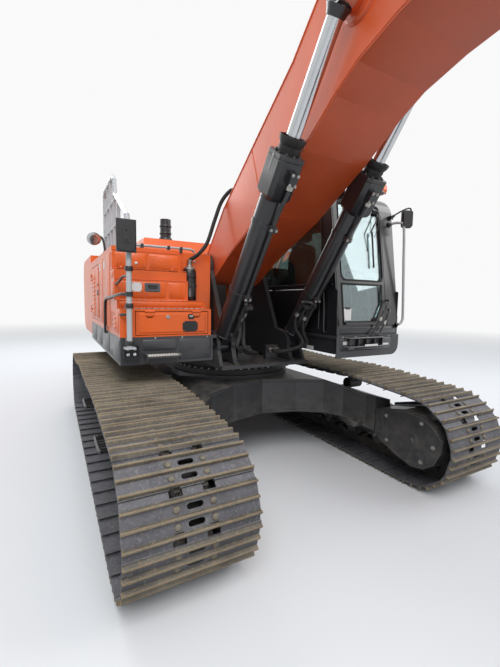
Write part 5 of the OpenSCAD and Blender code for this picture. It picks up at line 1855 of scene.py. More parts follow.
@dataclass
class Upper:
    """Housings, doors, tool box, rails and counterweight: what is fixed on the upper."""
    half: float = 1495.0
    top_z: float = 2280.0
    tail_r: float = 3500.0
    # How far ahead the fronts lie: tool box door, steps upward, deck beside and under the cab
    box_door_f: float = 846.0
    step_f: float = 700.0
    riser_f: float = 560.0
    tier_f: float = 420.0
    deck_f: float = 850.0
    nose_f: float = 1400.0
    hood_z: float = 2600.0
    weight_z: float = 2400.0
    skirt_bolts_z: float = 1396.0
    exhaust: Point2 = (-560, -1020)
    filter: Point2 = (-668, 330)
    rail_post: Point2 = (-1430, 950)
    filler: Point2 = (-1325, -70)

    def build(self) -> None:
        """Makes every fitting of the superstructure."""
        self.tool_box()
        self.tiers()
        self.right_side()
        self.left_side()
        self.deck()
        self.tread_plates()
        self.rail_fittings()
        self.hood()
        self.counterweight()
        self.plumbing()

    def tool_box(self) -> None:
        """Makes the tool box door's pressing, vent, lock and latch, and the side's slots."""
        door = front_face(self.box_door_f)
        field, vent, cup, pull, bolts = shapes(5)
        door.pressed(field, (-1336, -674), (1446, 1628), 26, 6, 7)
        door.pad(vent, (-918, -762), (1452, 1556), 30, 5, 8)
        holes = [ring_points((-895 + 22 * i, 1470 + 17 * j), 6.2, 10)
                 for i in range(6) for j in range(5)]
        door.holed(vent, [rounded((-914, -766), (1455, 1553), 28), *holes], 9, 13)
        for a, b in ((-904, 1545), (-776, 1545), (-904, 1463), (-776, 1463)):
            door.dome(bolts, a, b, 5, 12)
        door.lock(pull, -1059, 1594, 5)
        door.latch(cup, pull, -832, 1599, 62, 52, 5)
        for x in (-1230, -780):
            door.pad(bolts, (x - 42, x + 42), (1600, 1640), 6, 5, 10)
            for k in (-26, 26):
                door.bolt(bolts, x + k, 1614, 14, 7, 10)
        make_all("tool_box_door", [
            (field, "tool_box_door_pressing", ORANGE), (vent, "tool_box_vent", BLACK, 1),
            (cup, "tool_box_latch_cup", PLASTIC, 1), (pull, "tool_box_locks", PLATED, 0.6),
            (bolts, "tool_box_hinge_leaves", ORANGE, 1)])
        flank, slots, bars = side_face(-self.half), Shape(), Shape()
        flank.pressed(slots, (330, 800), (1440, 1640), 24, 4, 5)
        for k in range(3):
            flank.louvre(slots, (520, 640), 1480 + 44 * k, 30, 15)
        slots.make("tool_box_side_pressing", "upper", ORANGE)
        inner = side_face(-620, 1)
        for k in range(5):
            inner.pad(bars, (380, 800), (1452 + 40 * k, 1468 + 40 * k), 7, -1, 4)
        bars.make("tool_box_inner_ribs", "upper", ORANGE, 1)

    def tiers(self) -> None:
        """Makes the plates, latches, plugs, seams and filler cap on the stepped boxes."""
        fields, white, cup, pull, caps, seams = shapes(6)
        riser = front_face(self.riser_f)
        riser.pressed(fields, (-1470, -1000), (1770, 1932), 22, 4, 5)
        riser.pressed(fields, (-975, -790), (1770, 1932), 18, 4, 5)
        riser.pad(white, (-1334, -1240), (1832, 1922), 16, 4, 6.5)
        for a, b in ((-1325, 1841), (-1249, 1841), (-1325, 1913), (-1249, 1913)):
            riser.dome(pull, a, b, 4.5, 6)
        riser.pad(cup, (-1212, -1056), (1832, 1920), 14, 4, 6)
        riser.latch(cup, pull, -1134, 1876, 120, 70, 6)
        step = front_face(self.step_f)
        step.pressed(fields, (-1470, -660), (1684, 1736), 12, 3, 4)
        upper = front_face(self.tier_f)
        upper.pressed(fields, (-1470, -1160), (2066, 2222), 20, 4, 5)
        upper.pressed(fields, (-1135, -820), (2066, 2222), 20, 4, 5)
        for x, z, cap in ((-1264, 2121, white), (-1409, 2072, caps), (-893, 2073, caps)):
            cap.lathe(upper.at(x, z, 3), upper.at(x, z, 22),
                      [(0, 15), (4, 15), (6, 12.5), (12, 12), (14, 8)], 20)
        for z, f, x in ((1746, 700, -630), (1950, 560, -765), (2051, 545, -785),
                        (2240, 420, -800)):
            seams.tube([(-self.half - 2, f + 1, z + 1), (x + 2, f + 1, z + 1)], 4, 8)
        make_all("upper", [
            (fields, "tier_pressings", ORANGE), (white, "tier_blank_plate", BOARD, 0.8),
            (cup, "tier_latch_cup", TRIM, 1), (pull, "tier_latch_pull", BLACK, 0.8),
            (caps, "tier_plugs", ORANGE), (seams, "tier_nosings", ORANGE)])
        cap, (x, f) = Shape(), self.filler
        # A rim of 36 points, every second one 3.7 mm further out for the grip
        narrow, wide = ring_points(self.filler, 76, 36), ring_points(self.filler, 79.7, 36)
        low = [(narrow, wide)[i % 2][i] for i in range(36)]
        top = [(x + 0.8 * (a - x), f + 0.8 * (b - f)) for a, b in low]
        cap.skin([cap.loop([(*p, z) for p in ring]) for ring, z in
                  ((low, self.top_z + 12), (low, self.top_z + 40), (top, self.top_z + 50))])
        cap.lathe((x, f, self.top_z - 1), (x, f, self.top_z + 14),
                  [(0, 92), (6, 92), (8, 70), (14, 70)], 40)
        cap.box((x - 60, x + 60), (f - 9, f + 9), (self.top_z + 48, self.top_z + 66))
        cap.make("filler_cap", "upper", ORANGE, 2)

    def right_side(self) -> None:
        """Makes the right door's pressing, slots and latch, and the panels ahead of it."""
        side = side_face(-self.half)
        door, slots, cup, pull, hinge = shapes(5)
        side.pressed(door, (-1600, -1150), (1500, 2160), 34, 6, 8)
        side.pressed(door, (-1120, -730), (1500, 2160), 34, 6, 8)
        for k in range(9):
            side.louvre(slots, (-1560, -1390), 1560 + 58 * k, 38, 18)
            side.louvre(slots, (-1360, -1190), 1560 + 58 * k, 38, 18)
        side.latch(cup, pull, -800, 1830, 100, 74, 5)
        side.lock(pull, -800, 1930, 5)
        for z in (1600, 2060):
            side.leaf(hinge, (-1620, -1540), z, 34, (-1566, 16), 6)
        make_all("right_door", [
            (door, "right_door_pressing", ORANGE, 0.8), (slots, "right_door_louvres", ORANGE, 0.8),
            (cup, "right_door_latch_cup", TRIM, 0.8), (pull, "right_door_locks", BLACK, 0.8),
            (hinge, "right_door_hinge_leaves", ORANGE, 0.8)])
        panels, labels = shapes(2)
        for a, b, r in (((-660, -300), (1460, 2230), 30), ((-270, 280), (1460, 2230), 30)):
            side.pressed(panels, a, b, r, 5, 7)
        for a, b in (((330, 520), (1765, 1930)), ((320, 500), (1962, 2030)),
                     ((315, 370), (2070, 2220))):
            side.pressed(panels, a, b, 14, 4, 5)
        side.pad(labels, (-210, -90), (2090, 2170), 8, 4.5, 6)
        side.pad(labels, (-610, -500), (2090, 2170), 8, 4.5, 6)
        make_all("upper", [
            (panels, "right_side_pressings", ORANGE),
            (labels, "right_side_blank_plates", BOARD, 0.5)])

    def left_side(self) -> None:
        """Makes the left door's cooling grille, latch and hinge leaves, and the front panel."""
        leaf = side_face(self.half)
        field, grille, cup, pull, hinge = shapes(5)
        leaf.pressed(field, (-1600, -720), (1500, 1760), 30, 5, 7)
        for side in range(2):
            a0 = -1590 + 440 * side
            leaf.holed(grille, [rounded((a0, a0 + 420), (1790, 2160), 22),
                                rounded((a0 + 26, a0 + 394), (1816, 2134), 12)], -1, 9)
            for k in range(13):
                leaf.louvre(grille, (a0 + 24, a0 + 396), 1816 + 24 * k, 20, 10)
        for k in range(6):
            leaf.louvre(field, (-1540, -1220), 1536 + 34 * k, 24, 16)
            leaf.louvre(field, (-1180, -860), 1536 + 34 * k, 24, 16)
        leaf.latch(cup, pull, -766, 1640, 90, 74, 5)
        leaf.lock(pull, -766, 1720, 5)
        for z in (1600, 2060):
            leaf.leaf(hinge, (-1620, -1560), z, 34, (-1580, 16), 6)
        make_all("left_door", [
            (field, "left_door_pressing", ORANGE, 0.8), (grille, "left_door_grille", BLACK, 0.8),
            (cup, "left_door_latch_cup", TRIM, 0.8), (pull, "left_door_locks", BLACK, 0.8),
            (hinge, "left_door_hinge_leaves", ORANGE, 0.8)])
        front = front_face(-590)
        panel = Shape()
        front.pressed(panel, (440, 555), (1440, 2240), 16, 4, 5)
        panel.make("left_housing_front_pressing", "upper", ORANGE)

    def deck(self) -> None:
        """Makes the skirts' pressings, bolts, lamp box, labels and the step's teeth."""
        fields, bolts, lamps, lens, teeth, labels = shapes(6)
        right, left = side_face(-self.half), side_face(self.half)
        for a in (-1700, -1060, -420, 220):
            right.pressed(fields, (a, a + 600), (1180, 1385), 24, 4, 5)
            for k in range(4):
                right.dome(bolts, a + 60 + 160 * k, self.skirt_bolts_z, 9)
        for a in (-1700, -1060, -420):
            left.pressed(fields, (a, a + 600), (1300, 1385), 20, 4, 5)
        left.pressed(fields, (240, 1370), (1300, 1385), 20, 4, 5)
        for f in range(-1660, 1360, 180):
            left.dome(bolts, f, self.skirt_bolts_z, 9)
        front = front_face(self.deck_f)
        front.pressed(fields, (-950, -620), (1180, 1385), 22, 4, 5)
        front.pressed(fields, (-1300, -980), (1280, 1385), 18, 4, 5)
        for x in (-1440, -1180, -920, -660):
            front.dome(bolts, x, self.skirt_bolts_z, 9)
        nose = front_face(self.nose_f)
        nose.pressed(fields, (600, 1370), (1250, 1380), 22, 4, 5)
        nose.pad(labels, (640, 700), (1318, 1352), 5, 4, 5.5)
        nose.pad(labels, (724, 800), (1268, 1298), 5, 4, 5.5)
        nose.pad(labels, (1180, 1330), (1296, 1318), 5, 4, 5.5)
        for x in (640, 820, 1000, 1180, 1330):
            nose.dome(bolts, x, self.skirt_bolts_z, 9)
        # Cluster of four small lamps below the rail's foot
        front.holed(lamps, [rounded((-1478, -1330), (1216, 1352), 20),
                            rounded((-1464, -1344), (1230, 1338), 12)], -1, 52)
        front.pad(lamps, (-1470, -1338), (1224, 1344), 14, 0, 30)
        for x in (-1434, -1374):
            for z in (1258, 1310):
                lens.lathe(front.at(x, z, 30), front.at(x, z, 50),
                           [(-1, 17), (4, 17), (8, 14), (12, 7)], 24)
                lamps.lathe(front.at(x, z, 29), front.at(x, z, 50),
                            [(0, 22), (8, 22), (8, 17.5), (0, 17.5)], 24)
        for i in range(4):
            f = 875 + i * 34
            for k in range(12):
                x = -1272 + 26 * k
                teeth.side([(f - 4.5, 1244), (f + 4.5, 1244), (f, 1252)], x, x + 14)
        make_all("upper", [
            (fields, "skirt_pressings", SKIRT), (bolts, "skirt_bolts", PLATED),
            (lamps, "lamp_cluster_box", PLASTIC, 1.5), (lens, "lamp_cluster_lenses", LENS),
            (teeth, "step_teeth", PLATED, 0, "skirt_paint"),
            (labels, "front_blank_labels", BOARD, 0.4, "skirt_paint")])

    def tread_plates(self) -> None:
        """Makes the raised, studded walking plates on the boxes, housings and the hood."""
        plates, studs = shapes(2)
        table = (((-1460, -660), (720, 815), 1670), ((-1460, -800), (580, 685), 1746),
                 ((-1460, -850), (432, 548), 2050), ((-1440, -860), (70, 380), 2280),
                 ((-1440, -1020), (-1700, -220), 2280), ((1020, 1440), (-1700, -640), 2280))
        for xs, fs, z in table:
            face = top_face(z)
            face.pressed(plates, xs, fs, 14, 4, 4)
            across = max(2, int((xs[1] - xs[0]) / 58))
            along = max(2, int((fs[1] - fs[0]) / 50))
            for i in range(across):
                for j in range(along):
                    a = xs[0] + (i + 0.5 + 0.5 * (j % 2) * 0.9) * (xs[1] - xs[0]) / (across + 0.5)
                    b = fs[0] + (j + 0.5) * (fs[1] - fs[0]) / along
                    studs.lathe(face.at(a, b, 3), face.at(a, b, 9),
                                [(0, 12), (4.5, 9), (4.5, 5), (2.5, 4)], 8)
        make_all("upper", [
            (plates, "tread_plates", SKIRT), (studs, "tread_studs", PLATED, 0, "skirt_paint")])

    def rail_fittings(self) -> None:
        """Makes the rails' foot flanges and clamps, the side grab rail and both mirrors."""
        feet, clamps, grab, arm = shapes(4)
        glass, case = shapes(2)
        x, z = -1350, self.top_z
        for f in (-340, -620, -900, -1200):
            feet.lathe((x, f, z), (x, f, z + 30), [(-1, 52), (9, 52), (11, 50), (11, 34), (16, 28),
                                                   (30, 26)], 32)
            feet.bolt_ring((x, f), 41, 4, z + 10, 15, 9, 45)
        for z in (1372, 1700, 2020):
            clamps.lathe((*self.rail_post, z - 20), (*self.rail_post, z + 20),
                         [(0, 25), (0, 33), (3, 35), (37, 35), (40, 33), (40, 25)], 28)
        for z in (1620, 1960):
            clamps.tube([(-1430, 930, z), (-1470, 900, z), (-1488, 846, z)] if z < 1700 else
                        [(-1430, 940, z), (-1450, 760, z), (-1470, 700, z - 40),
                         (-1480, 566, z - 60)], 12, 10)
        path = smooth_path([(-1512, -31, 1392), (-1514, -20, 1500), (-1514, 0, 1690),
                            (-1514, 60, 1752), (-1514, 300, 1770), (-1512, 700, 1786),
                            (-1490, 880, 1798), (-1452, 944, 1800)], 6)
        grab.tube(path, 14, 14)
        grab.box((-1524, -1494), (-58, -4), (1380, 1396))
        grab.lathe((*self.rail_post, 1780), (*self.rail_post, 1820),
                   [(0, 25), (0, 32), (40, 32), (40, 25)], 28)
        for f, z in ((-44, 1388), (-18, 1388)):
            grab.bolt((-1512, f, z + 8), UP, 14, 8)
        arm.bend([(-1466, -300, 2290), (-1478, -310, 2400), (-1500, -320, 2455),
                  (-1540, -325, 2462), (-1580, -330, 2440)], 6, 13, 14)
        arm.lathe((-1466, -300, self.top_z), (-1466, -300, self.top_z + 24),
                  [(-1, 27), (8, 27), (8, 20), (24, 18)], 24)
        arm.lathe((-1580, -330, 2440), (-1580, -302, 2424), [(-20, 10), (-14, 34), (-4, 60),
                                                            (6, 74), (14, 76), (20, 74)], 40)
        glass.lathe((-1580, -330, 2440), (-1580, -302, 2424), [(20, 74), (22, 70), (24, 40)], 40)
        front, rear = front_face(1030), rear_face(1000)
        front.pressed(case, (-1536, -1384), (2154, 2416), 40, 7, 6)
        front.pad(case, (-1490, -1430), (2225, 2345), 12, 5, 11)
        for z in (2245, 2325):
            front.bolt(clamps, -1460, z, 12, 11)
        rear.holed(case, [rounded((-1538, -1382), (2152, 2418), 24),
                          rounded((-1526, -1394), (2164, 2406), 16)], -1, 6)
        rear.pad(glass, (-1527, -1393), (2163, 2407), 16, -1, 2)
        make_all("upper", [
            (case, "rail_mirror_case", PLASTIC, 1.5), (feet, "rail_feet", RAIL),
            (clamps, "rail_clamps", BLACK, 0, "rail_paint"),
            (grab, "side_grab_rail", BLACK, 0, "rail_paint"), (arm, "side_mirror_arm", PLASTIC),
            (glass, "side_mirror_glass", CHROME)])

    def hood(self) -> None:
        """Makes the hood's louvres, pressings, handles, bolts and the exhaust's clamps."""
        slots, ribs, handles, shield, bolts = shapes(5)
        roof = top_face(self.hood_z)
        for side in (1, -1):
            slope = Face((side * 980, 0, 2320), AHEAD,
                         (-side * 90 / 256, 0, 240 / 256), (side * 240 / 256, 0, 90 / 256))
            for k in range(7):
                a = -1600 + 112 * k
                for j in range(3):
                    slope.louvre(slots, (a, a + 92), 36 + 62 * j, 40, 15)
        for k in range(5):
            a = -560 + 280 * k
            roof.pressed(ribs, (a - 96, a + 96), (-1640, -930), 26, 8, 8)
        for x in (-460, 460):
            handles.bend([(x - 80, -1716, 2352), (x - 80, -1744, 2356),
                          (x - 60, -1750, 2358), (x + 60, -1750, 2358),
                          (x + 80, -1744, 2356), (x + 80, -1716, 2352)], 5, 9, 12)
        for f in range(-1640, -890, 120):
            for x in (-868, 868):
                roof.dome(bolts, x, f, 8)
        shield.lathe((*self.exhaust, 2602), (*self.exhaust, 2640),
                     [(0, 74), (0, 108), (8, 108), (10, 96), (34, 92), (38, 80), (38, 76)], 40)
        for z in (2690, 2790):
            shield.lathe((*self.exhaust, z), (*self.exhaust, z + 26),
                         [(0, 74), (0, 82), (3, 84), (23, 84), (26, 82), (26, 74)], 40)
            shield.bolt((self.exhaust[0], self.exhaust[1] + 86, z + 13), AHEAD, 16, 12)
        shield.bolt_ring(self.exhaust, 98, 6, 2609, 16, 9)
        make_all("engine_hood", [
            (slots, "hood_louvres", ORANGE), (ribs, "hood_pressings", ORANGE),
            (handles, "hood_handles", BLACK), (bolts, "hood_bolts", PLATED),
            (shield, "exhaust_clamps", BLACK, 0, "black_steel")])

    def counterweight(self) -> None:
        """Makes the cast weight's seams, eyes, lamps, reflectors and blank plates."""
        seams, eyes, lamps, lens, red, plates = shapes(6)
        edge = math.asin(self.half / self.tail_r)
        for z, r in ((1560, self.tail_r + 1), (2120, self.tail_r + 1)):
            seams.tube([(r * math.sin(t), -r * math.cos(t), z) for t in
                        (edge * (i / 24 - 1) * 0.985 for i in range(49))], 5, 8)
        for x in (-900, 900):
            eyes.lathe((x, -2500, self.weight_z), (x, -2500, self.weight_z + 12),
                       [(-1, 78), (8, 78), (12, 72), (12, 42), (4, 38)], 40)
            eyes.bolt_ring((x, -2500), 60, 6, self.weight_z + 11, 14, 7)
        for s in (-1, 1):
            t = s * edge * 0.78
            face = Face((self.tail_r * math.sin(t), -self.tail_r * math.cos(t), 0),
                        (math.cos(t), math.sin(t), 0), UP, (math.sin(t), -math.cos(t), 0))
            face.holed(lamps, [rounded((-95, 95), (1900, 1990), 16),
                               rounded((-83, 83), (1912, 1978), 10)], -8, 22)
            face.pad(red, (-84, -4), (1911, 1979), 8, -6, 15)
            face.pad(lens, (4, 84), (1911, 1979), 8, -6, 15)
            face.pad(red, (-60, 60), (1660, 1700), 8, -6, 6)
        face = rear_face(-self.tail_r)
        face.pad(plates, (-230, 230), (1780, 1940), 18, -6, 3)
        for a, b in ((-205, 1805), (205, 1805), (-205, 1915), (205, 1915)):
            face.dome(eyes, a, b, 9, 3)
        top = top_face(self.weight_z)
        top.pressed(plates, (-260, 260), (-2900, -2560), 30, 5, 6)
        for x in (-360, -120, 120, 360):
            top.bolt(eyes, x, -2020, 46, 24)
        make_all("upper", [
            (seams, "counterweight_seams", ORANGE), (eyes, "counterweight_eyes", CHARCOAL),
            (lamps, "tail_lamp_rims", PLASTIC, 1.5), (lens, "tail_lamp_lenses", LENS, 3),
            (red, "tail_lamp_reds", RED_LENS, 3),
            (plates, "counterweight_blank_plates", ORANGE, 1)])

    def plumbing(self) -> None:
        """Makes the filter beside the boxes, its clamps and the pipe over the top."""
        can, head, pipes, clamp = shapes(4)
        x, f = self.filter
        can.lathe((x, f, 1746), (x, f, 2110),
                  [(0, 62), (6, 70), (14, 74), (40, 74), (44, 77), (52, 77), (56, 74), (262, 74),
                   (266, 78), (274, 78), (278, 74), (330, 74), (348, 66), (356, 50)], 48)
        head.lathe((x, f, 2096), (x, f, 2160), [(0, 66), (16, 66), (20, 58), (20, 34), (44, 32),
                                               (48, 24), (64, 24)], 32)
        head.lathe((x, f, 1700), (x, f, 1748), [(0, 40), (20, 40), (24, 62), (48, 62)], 32)
        head.bolt_ring(self.filter, 50, 8, 2116, 14, 9)
        clamp.lathe((x, f, 1900), (x, f, 1930), [(0, 74), (0, 80), (30, 80), (30, 74)], 48)
        clamp.box((x - 40, x + 40), (260, 276), (1880, 1950))
        clamp.box((x - 30, x + 30), (299, 262), (1906, 1924))
        pipes.bend([(-1290, 290, 2292), (-1290, 300, 2310), (-1250, 304, 2318),
                    (-1000, 306, 2320), (-700, 306, 2322), (-640, 300, 2318),
                    (-600, 280, 2300), (-596, 270, 2240), (-600, 300, 2180)], 6,
                   13, 14)
        for px in (-1180, -900, -760):
            clamp.box((px - 14, px + 14), (284, 328), (2279, 2336))
        make_all("upper", [
            (can, "filter_can", BLACK), (head, "filter_heads", PLATED), (pipes, "top_pipe", RAIL),
            (clamp, "filter_clamps", CHARCOAL, 1.5)])


def pillow(shape: Shape, cap: float, voxel: float = 8.0) -> Shape:
    """Fills a closed form like a sewn cushion, with a short cloth simulation.

    Args:
        shape: The closed form, a little smaller than the pad.
        cap: How far in mm a point may move.
        voxel: The size in mm of its even mesh.

    Returns:
        A shape with the swollen form.
    """
    scene = bpy.context.scene
    rough = bpy.data.meshes.new("pad_form")
    bmesh.ops.recalc_face_normals(shape.mesh, faces=shape.mesh.faces)
    shape.mesh.to_mesh(rough)
    shape.mesh.free()
    source = bpy.data.objects.new("pad_form", rough)
    scene.collection.objects.link(source)
    even = source.modifiers.new("even", "REMESH")
    even.mode, even.voxel_size = "VOXEL", voxel * MM
    bpy.context.view_layer.update()
    graph = bpy.context.evaluated_depsgraph_get()
    data = bpy.data.meshes.new_from_object(source.evaluated_get(graph))
    bpy.data.objects.remove(source)
    sheet = bpy.data.objects.new("pad_sheet", data)
    scene.collection.objects.link(sheet)
    cloth = sheet.modifiers.new("cloth", "CLOTH")
    cloth.settings.quality = 4
    cloth.settings.use_pressure = True
    cloth.settings.uniform_pressure_force = 4
    cloth.settings.effector_weights.gravity = 0
    before = [v.co.copy() for v in data.vertices]
    for frame in range(1, 21):
        scene.frame_set(frame)
    swollen = sheet.evaluated_get(bpy.context.evaluated_depsgraph_get()).to_mesh()
    moves = [v.co - p for v, p in zip(swollen.vertices, before)]
    bpy.data.objects.remove(sheet)
    scene.frame_set(1)
    for vertex, start, move in zip(data.vertices, before, moves):
        reach = min(move.length, cap * MM)
        vertex.co = start + (move.normalized() * reach if move.length > 0 else move)
    out = Shape()
    out.mesh.from_mesh(data)
    return out


# Sine and cosine of the windscreen's rake
RAKE_S, RAKE_C = 0.1372, 0.9905


@dataclass
class Cab:
    """The operator's cab: seals, wiper, rails, lamps, mirror, door furniture and inside."""
    near_x: float = 569.0
    far_x: float = 1489.0
    front_f: float = 1380.0
    rear_f: float = -550.0
    seat_x: float = 1029.0
    floor_z: float = 1432.0
    roof_z: float = 3160.0
    # Where the rake starts, the papers behind it, the labels inside, and the tray in front
    rake_z: float = 1600.0
    paper_f: float = 1364.0
    label_x: float = 554.0
    tray_f: float = 1400.0

    def build(self) -> None:
        """Makes every fitting of the cab."""
        self.seals()
        self.front()
        self.flank()
        self.rails()
        self.roof()
        self.door()
        self.inside()
        self.seat()

    def rake(self) -> Face:
        """The raked upper front, with heights measured from where the rake starts."""
        return Face((0, self.front_f, self.rake_z), (1, 0, 0), (0, -RAKE_S, RAKE_C),
                    (0, RAKE_C, RAKE_S))

    def seal(self, shape: Shape, face: Face, outline: list[Point2], wide: float = 17.0) -> None:
        """Adds a rubber seal with a raised lip round a pane.

        Args:
            shape: The shape that gets it.
            face: The face that the pane lies in.
            outline: The pane's outline.
            wide: The seal's width.
        """
        mid = [sum(p[k] for p in outline) / len(outline) for k in (0, 1)]

        def grown(out: float) -> list[Point2]:
            """Moves the outline outward from its middle.

            Args:
                out: How far it is moved.

            Returns:
                The moved outline.
            """
            ring = []
            for x, y in outline:
                d = math.hypot(x - mid[0], y - mid[1])
                ring.append((x + (x - mid[0]) / d * out, y + (y - mid[1]) / d * out))
            return ring

        face.holed(shape, [grown(wide * 0.7), grown(-wide * 0.6)], -2, 4)
        path = [face.at(x, y, 4) for x, y in [*grown(wide * 0.1), grown(wide * 0.1)[0]]]
        shape.tube(path, 4.5, 8)

    def seals(self) -> None:
        """Makes the seals round every fixed pane."""
        shape, rake = Shape(), self.rake()
        self.seal(shape, rake, rounded((654, 1274), (409, 1262), 60))
        self.seal(shape, rake, [(654, -45), (1119, -45), (1239, 142), (1239, 368), (654, 368)])
        self.seal(shape, side_face(self.near_x, -1), [(-440, 1960), (1130, 1960), (1130, 2040),
                                                      (1060, 2800), (-440, 2800)])
        self.seal(shape, side_face(self.far_x), rounded((-440, 20), (1960, 2800), 40))
        self.seal(shape, rear_face(self.rear_f), rounded((679, 1379), (2100, 2850), 50))
        shape.make("pane_seals", "upper", CUP)

    def front(self) -> None:
        """Makes the wiper, the front's seams, the lower frame, the paper and the bars."""
        rake = self.rake()
        wiper, blade, bars, bright, paper, seams = shapes(6)
        pivot = rake.at(1236, 1195, 16)
        wiper.lathe(rake.at(1236, 1195, 0), rake.at(1236, 1195, 40),
                    [(-2, 30), (8, 30), (12, 22), (26, 20), (30, 14), (38, 12)], 24)
        wiper.tube([pivot, rake.at(1190, 1080, 34), rake.at(1100, 950, 30)], 8, 8)
        wiper.tube([rake.at(1100, 950, 30), rake.at(1120, 860, 28), rake.at(1130, 760, 24)], 5, 8)
        wiper.tube([rake.at(1230, 1160, 34), rake.at(1215, 1010, 36),
                    rake.at(1150, 900, 30)], 4, 8)
        rake.slab(blade, [(1126, 560), (1136, 560), (1142, 960), (1132, 960)], 10, 22)
        rake.slab(blade, [(1129, 556), (1133, 556), (1139, 964), (1135, 964)], 3, 12)
        # Two slanted bars from the tray to the pillar, with bright fittings
        for a, b in (((1041, 1400), (1318, 1800)), ((1150, 1400), (1332, 1700))):
            path = smooth_path([(a[0], 1412, a[1]), (a[0] + 30, 1416, a[1] + 46),
                                (b[0] - 26, 1412, b[1] - 40), (b[0], 1378 - (b[1] - 1600) * 0.138,
                                                               b[1])], 6)
            bars.tube(path, 11, 12)
            way = (b[0] - a[0], b[1] - a[1])
            p = (a[0] + 0.42 * way[0], 1415, a[1] + 0.42 * way[1])
            q = (a[0] + 0.52 * way[0], 1415, a[1] + 0.52 * way[1])
            bright.lathe(p, q, [(0, 12), (0, 16), (18, 17), (32, 16), (48, 12)], 20)
        tray = front_face(self.tray_f)
        for z in (1395, 1300):
            bars.tube([(660, 1402, z), (700, 1450, z - 6), (1180, 1450, z - 6), (1200, 1402, z)],
                      11, 10)
        bars.box((690, 1190), (1410, 1452), (1290, 1296))
        for x in (700, 820, 940, 1060, 1180):
            bars.box((x - 5, x + 5), (1404, 1450), (1292, 1392))
        tray.pad(paper, (905, 1100), (1300, 1320), 4, 55, 58)
        # Lower frame bar, bolts and the panel below it
        rake.pad(bars, (664, 1110), (-74, -52), 8, -2, 26)
        lower = front_face(self.front_f)
        lower.pressed(seams, (600, 1460), (1425, 1500), 14, 3, 4)
        for x in (610, 1450):
            for z in (1440, 1560):
                lower.dome(seams, x, z, 8, 0)
        rake.pad(seams, (1300, 1470), (-80, 1180), 20, -1, 3)
        rake.pad(seams, (585, 634), (-80, 1180), 12, -1, 3)
        sheet = rear_face(self.paper_f)
        sheet.pad(paper, (672, 776), (1575, 1700), 3, 0, 1.2)
        sheet.pad(seams, (690, 760), (1690, 1716), 3, -1, 3)
        labels = side_face(self.label_x, -1)
        labels.pad(paper, (704, 792), (1296, 1322), 4, 0, 1.6)
        labels.pad(paper, (908, 1030), (1226, 1268), 4, 0, 1.6)
        make_all("upper", [
            (wiper, "wiper_arm", BLACK), (blade, "wiper_blade", CUP),
            (bars, "front_bars", CAB, 0.8), (bright, "front_bar_fittings", PLATED),
            (paper, "blank_papers", BOARD, 0, "cab_paint"), (seams, "front_pressings", CAB)])

    def flank(self) -> None:
        """Makes the near side's pressings, pipe rail and plugs, and the rear's grille."""
        near = side_face(self.near_x, -1)
        fields, pipe, dark = shapes(3)
        near.pressed(fields, (-500, 120), (1440, 1910), 34, 5, 6)
        near.pressed(fields, (160, 1090), (1440, 1910), 34, 5, 6)
        near.pad(fields, (1225, 1372), (1430, 1900), 20, -1, 3)
        pipe.bend([(568, 1100, 2118), (548, 1108, 2116), (540, 1130, 2100),
                   (538, 1160, 2060), (538, 1200, 1700), (538, 1208, 1470),
                   (552, 1210, 1440), (568, 1211, 1436)], 6, 10, 12)
        for f, z in ((1272, 2038), (1278, 1996), (1282, 1952)):
            dark.lathe(near.at(f, z), near.at(f, z, 12), [(-1, 13), (5, 13), (8, 10), (8, 5),
                                                         (5, 4)], 16)
        rear = rear_face(self.rear_f)
        rear.pressed(fields, (600, 1460), (1440, 2040), 34, 5, 6)
        for k in range(9):
            rear.louvre(dark, (760, 1300), 1560 + 40 * k, 28, 14)
        far = side_face(self.far_x)
        far.pressed(fields, (-510, 90), (1440, 1910), 34, 4, 6)
        far.pad(fields, (1262, 1372), (1430, 1900), 20, -1, 3)
        make_all("upper", [
            (fields, "cab_side_pressings", CAB), (pipe, "cab_side_pipe", CAB),
            (dark, "cab_side_plugs", PLASTIC)])

    def rails(self) -> None:
        """Makes the pale grab rail at the front corner and the mirror on its arm."""
        rail, feet, arm, case, glass = shapes(5)
        path = smooth_path([(1440, 1236, 2672), (1462, 1290, 2684), (1490, 1352, 2676),
                            (1506, 1386, 2620), (1518, 1400, 2202), (1536, 1412, 1660),
                            (1530, 1412, 1570), (1500, 1404, 1530), (1462, 1384, 1518)], 8)
        rail.tube(path, 15, 16)
        for p, q in (((1440, 1236, 2672), (1462, 1290, 2684)), ((1462, 1384, 1518),
                                                                (1500, 1404, 1530))):
            feet.lathe(p, q, [(-4, 34), (6, 34), (8, 24), (26, 18)], 24)
        arm.bend([(1462, 1240, 2756), (1500, 1300, 2800), (1560, 1370, 2842),
                  (1596, 1392, 2838), (1606, 1394, 2780), (1606, 1394, 2690)], 8,
                 9, 12)
        arm.lathe((1462, 1240, 2756), (1500, 1300, 2800), [(-6, 30), (8, 30), (10, 18), (40, 14)],
                  20)
        face = Face((1545, 1392, 2720), (0.94, 0.34, 0), (0, 0, 1), (0.34, -0.94, 0))
        for lift, grow in ((0, 0), (-26, -6)):
            face.pad(case, (-62 - grow, 62 + grow), (-98 - grow, 98 + grow), 26,
                      lift, lift + 26)
        face.pad(glass, (-54, 54), (-90, 90), 20, 25, 28)
        make_all("upper", [
            (rail, "cab_grab_rail", RAIL), (feet, "cab_grab_rail_feet", BLACK, 0, "rail_paint"),
            (arm, "cab_mirror_arm", BLACK), (case, "cab_mirror_case", PLASTIC, 3),
            (glass, "cab_mirror_glass", CHROME)])

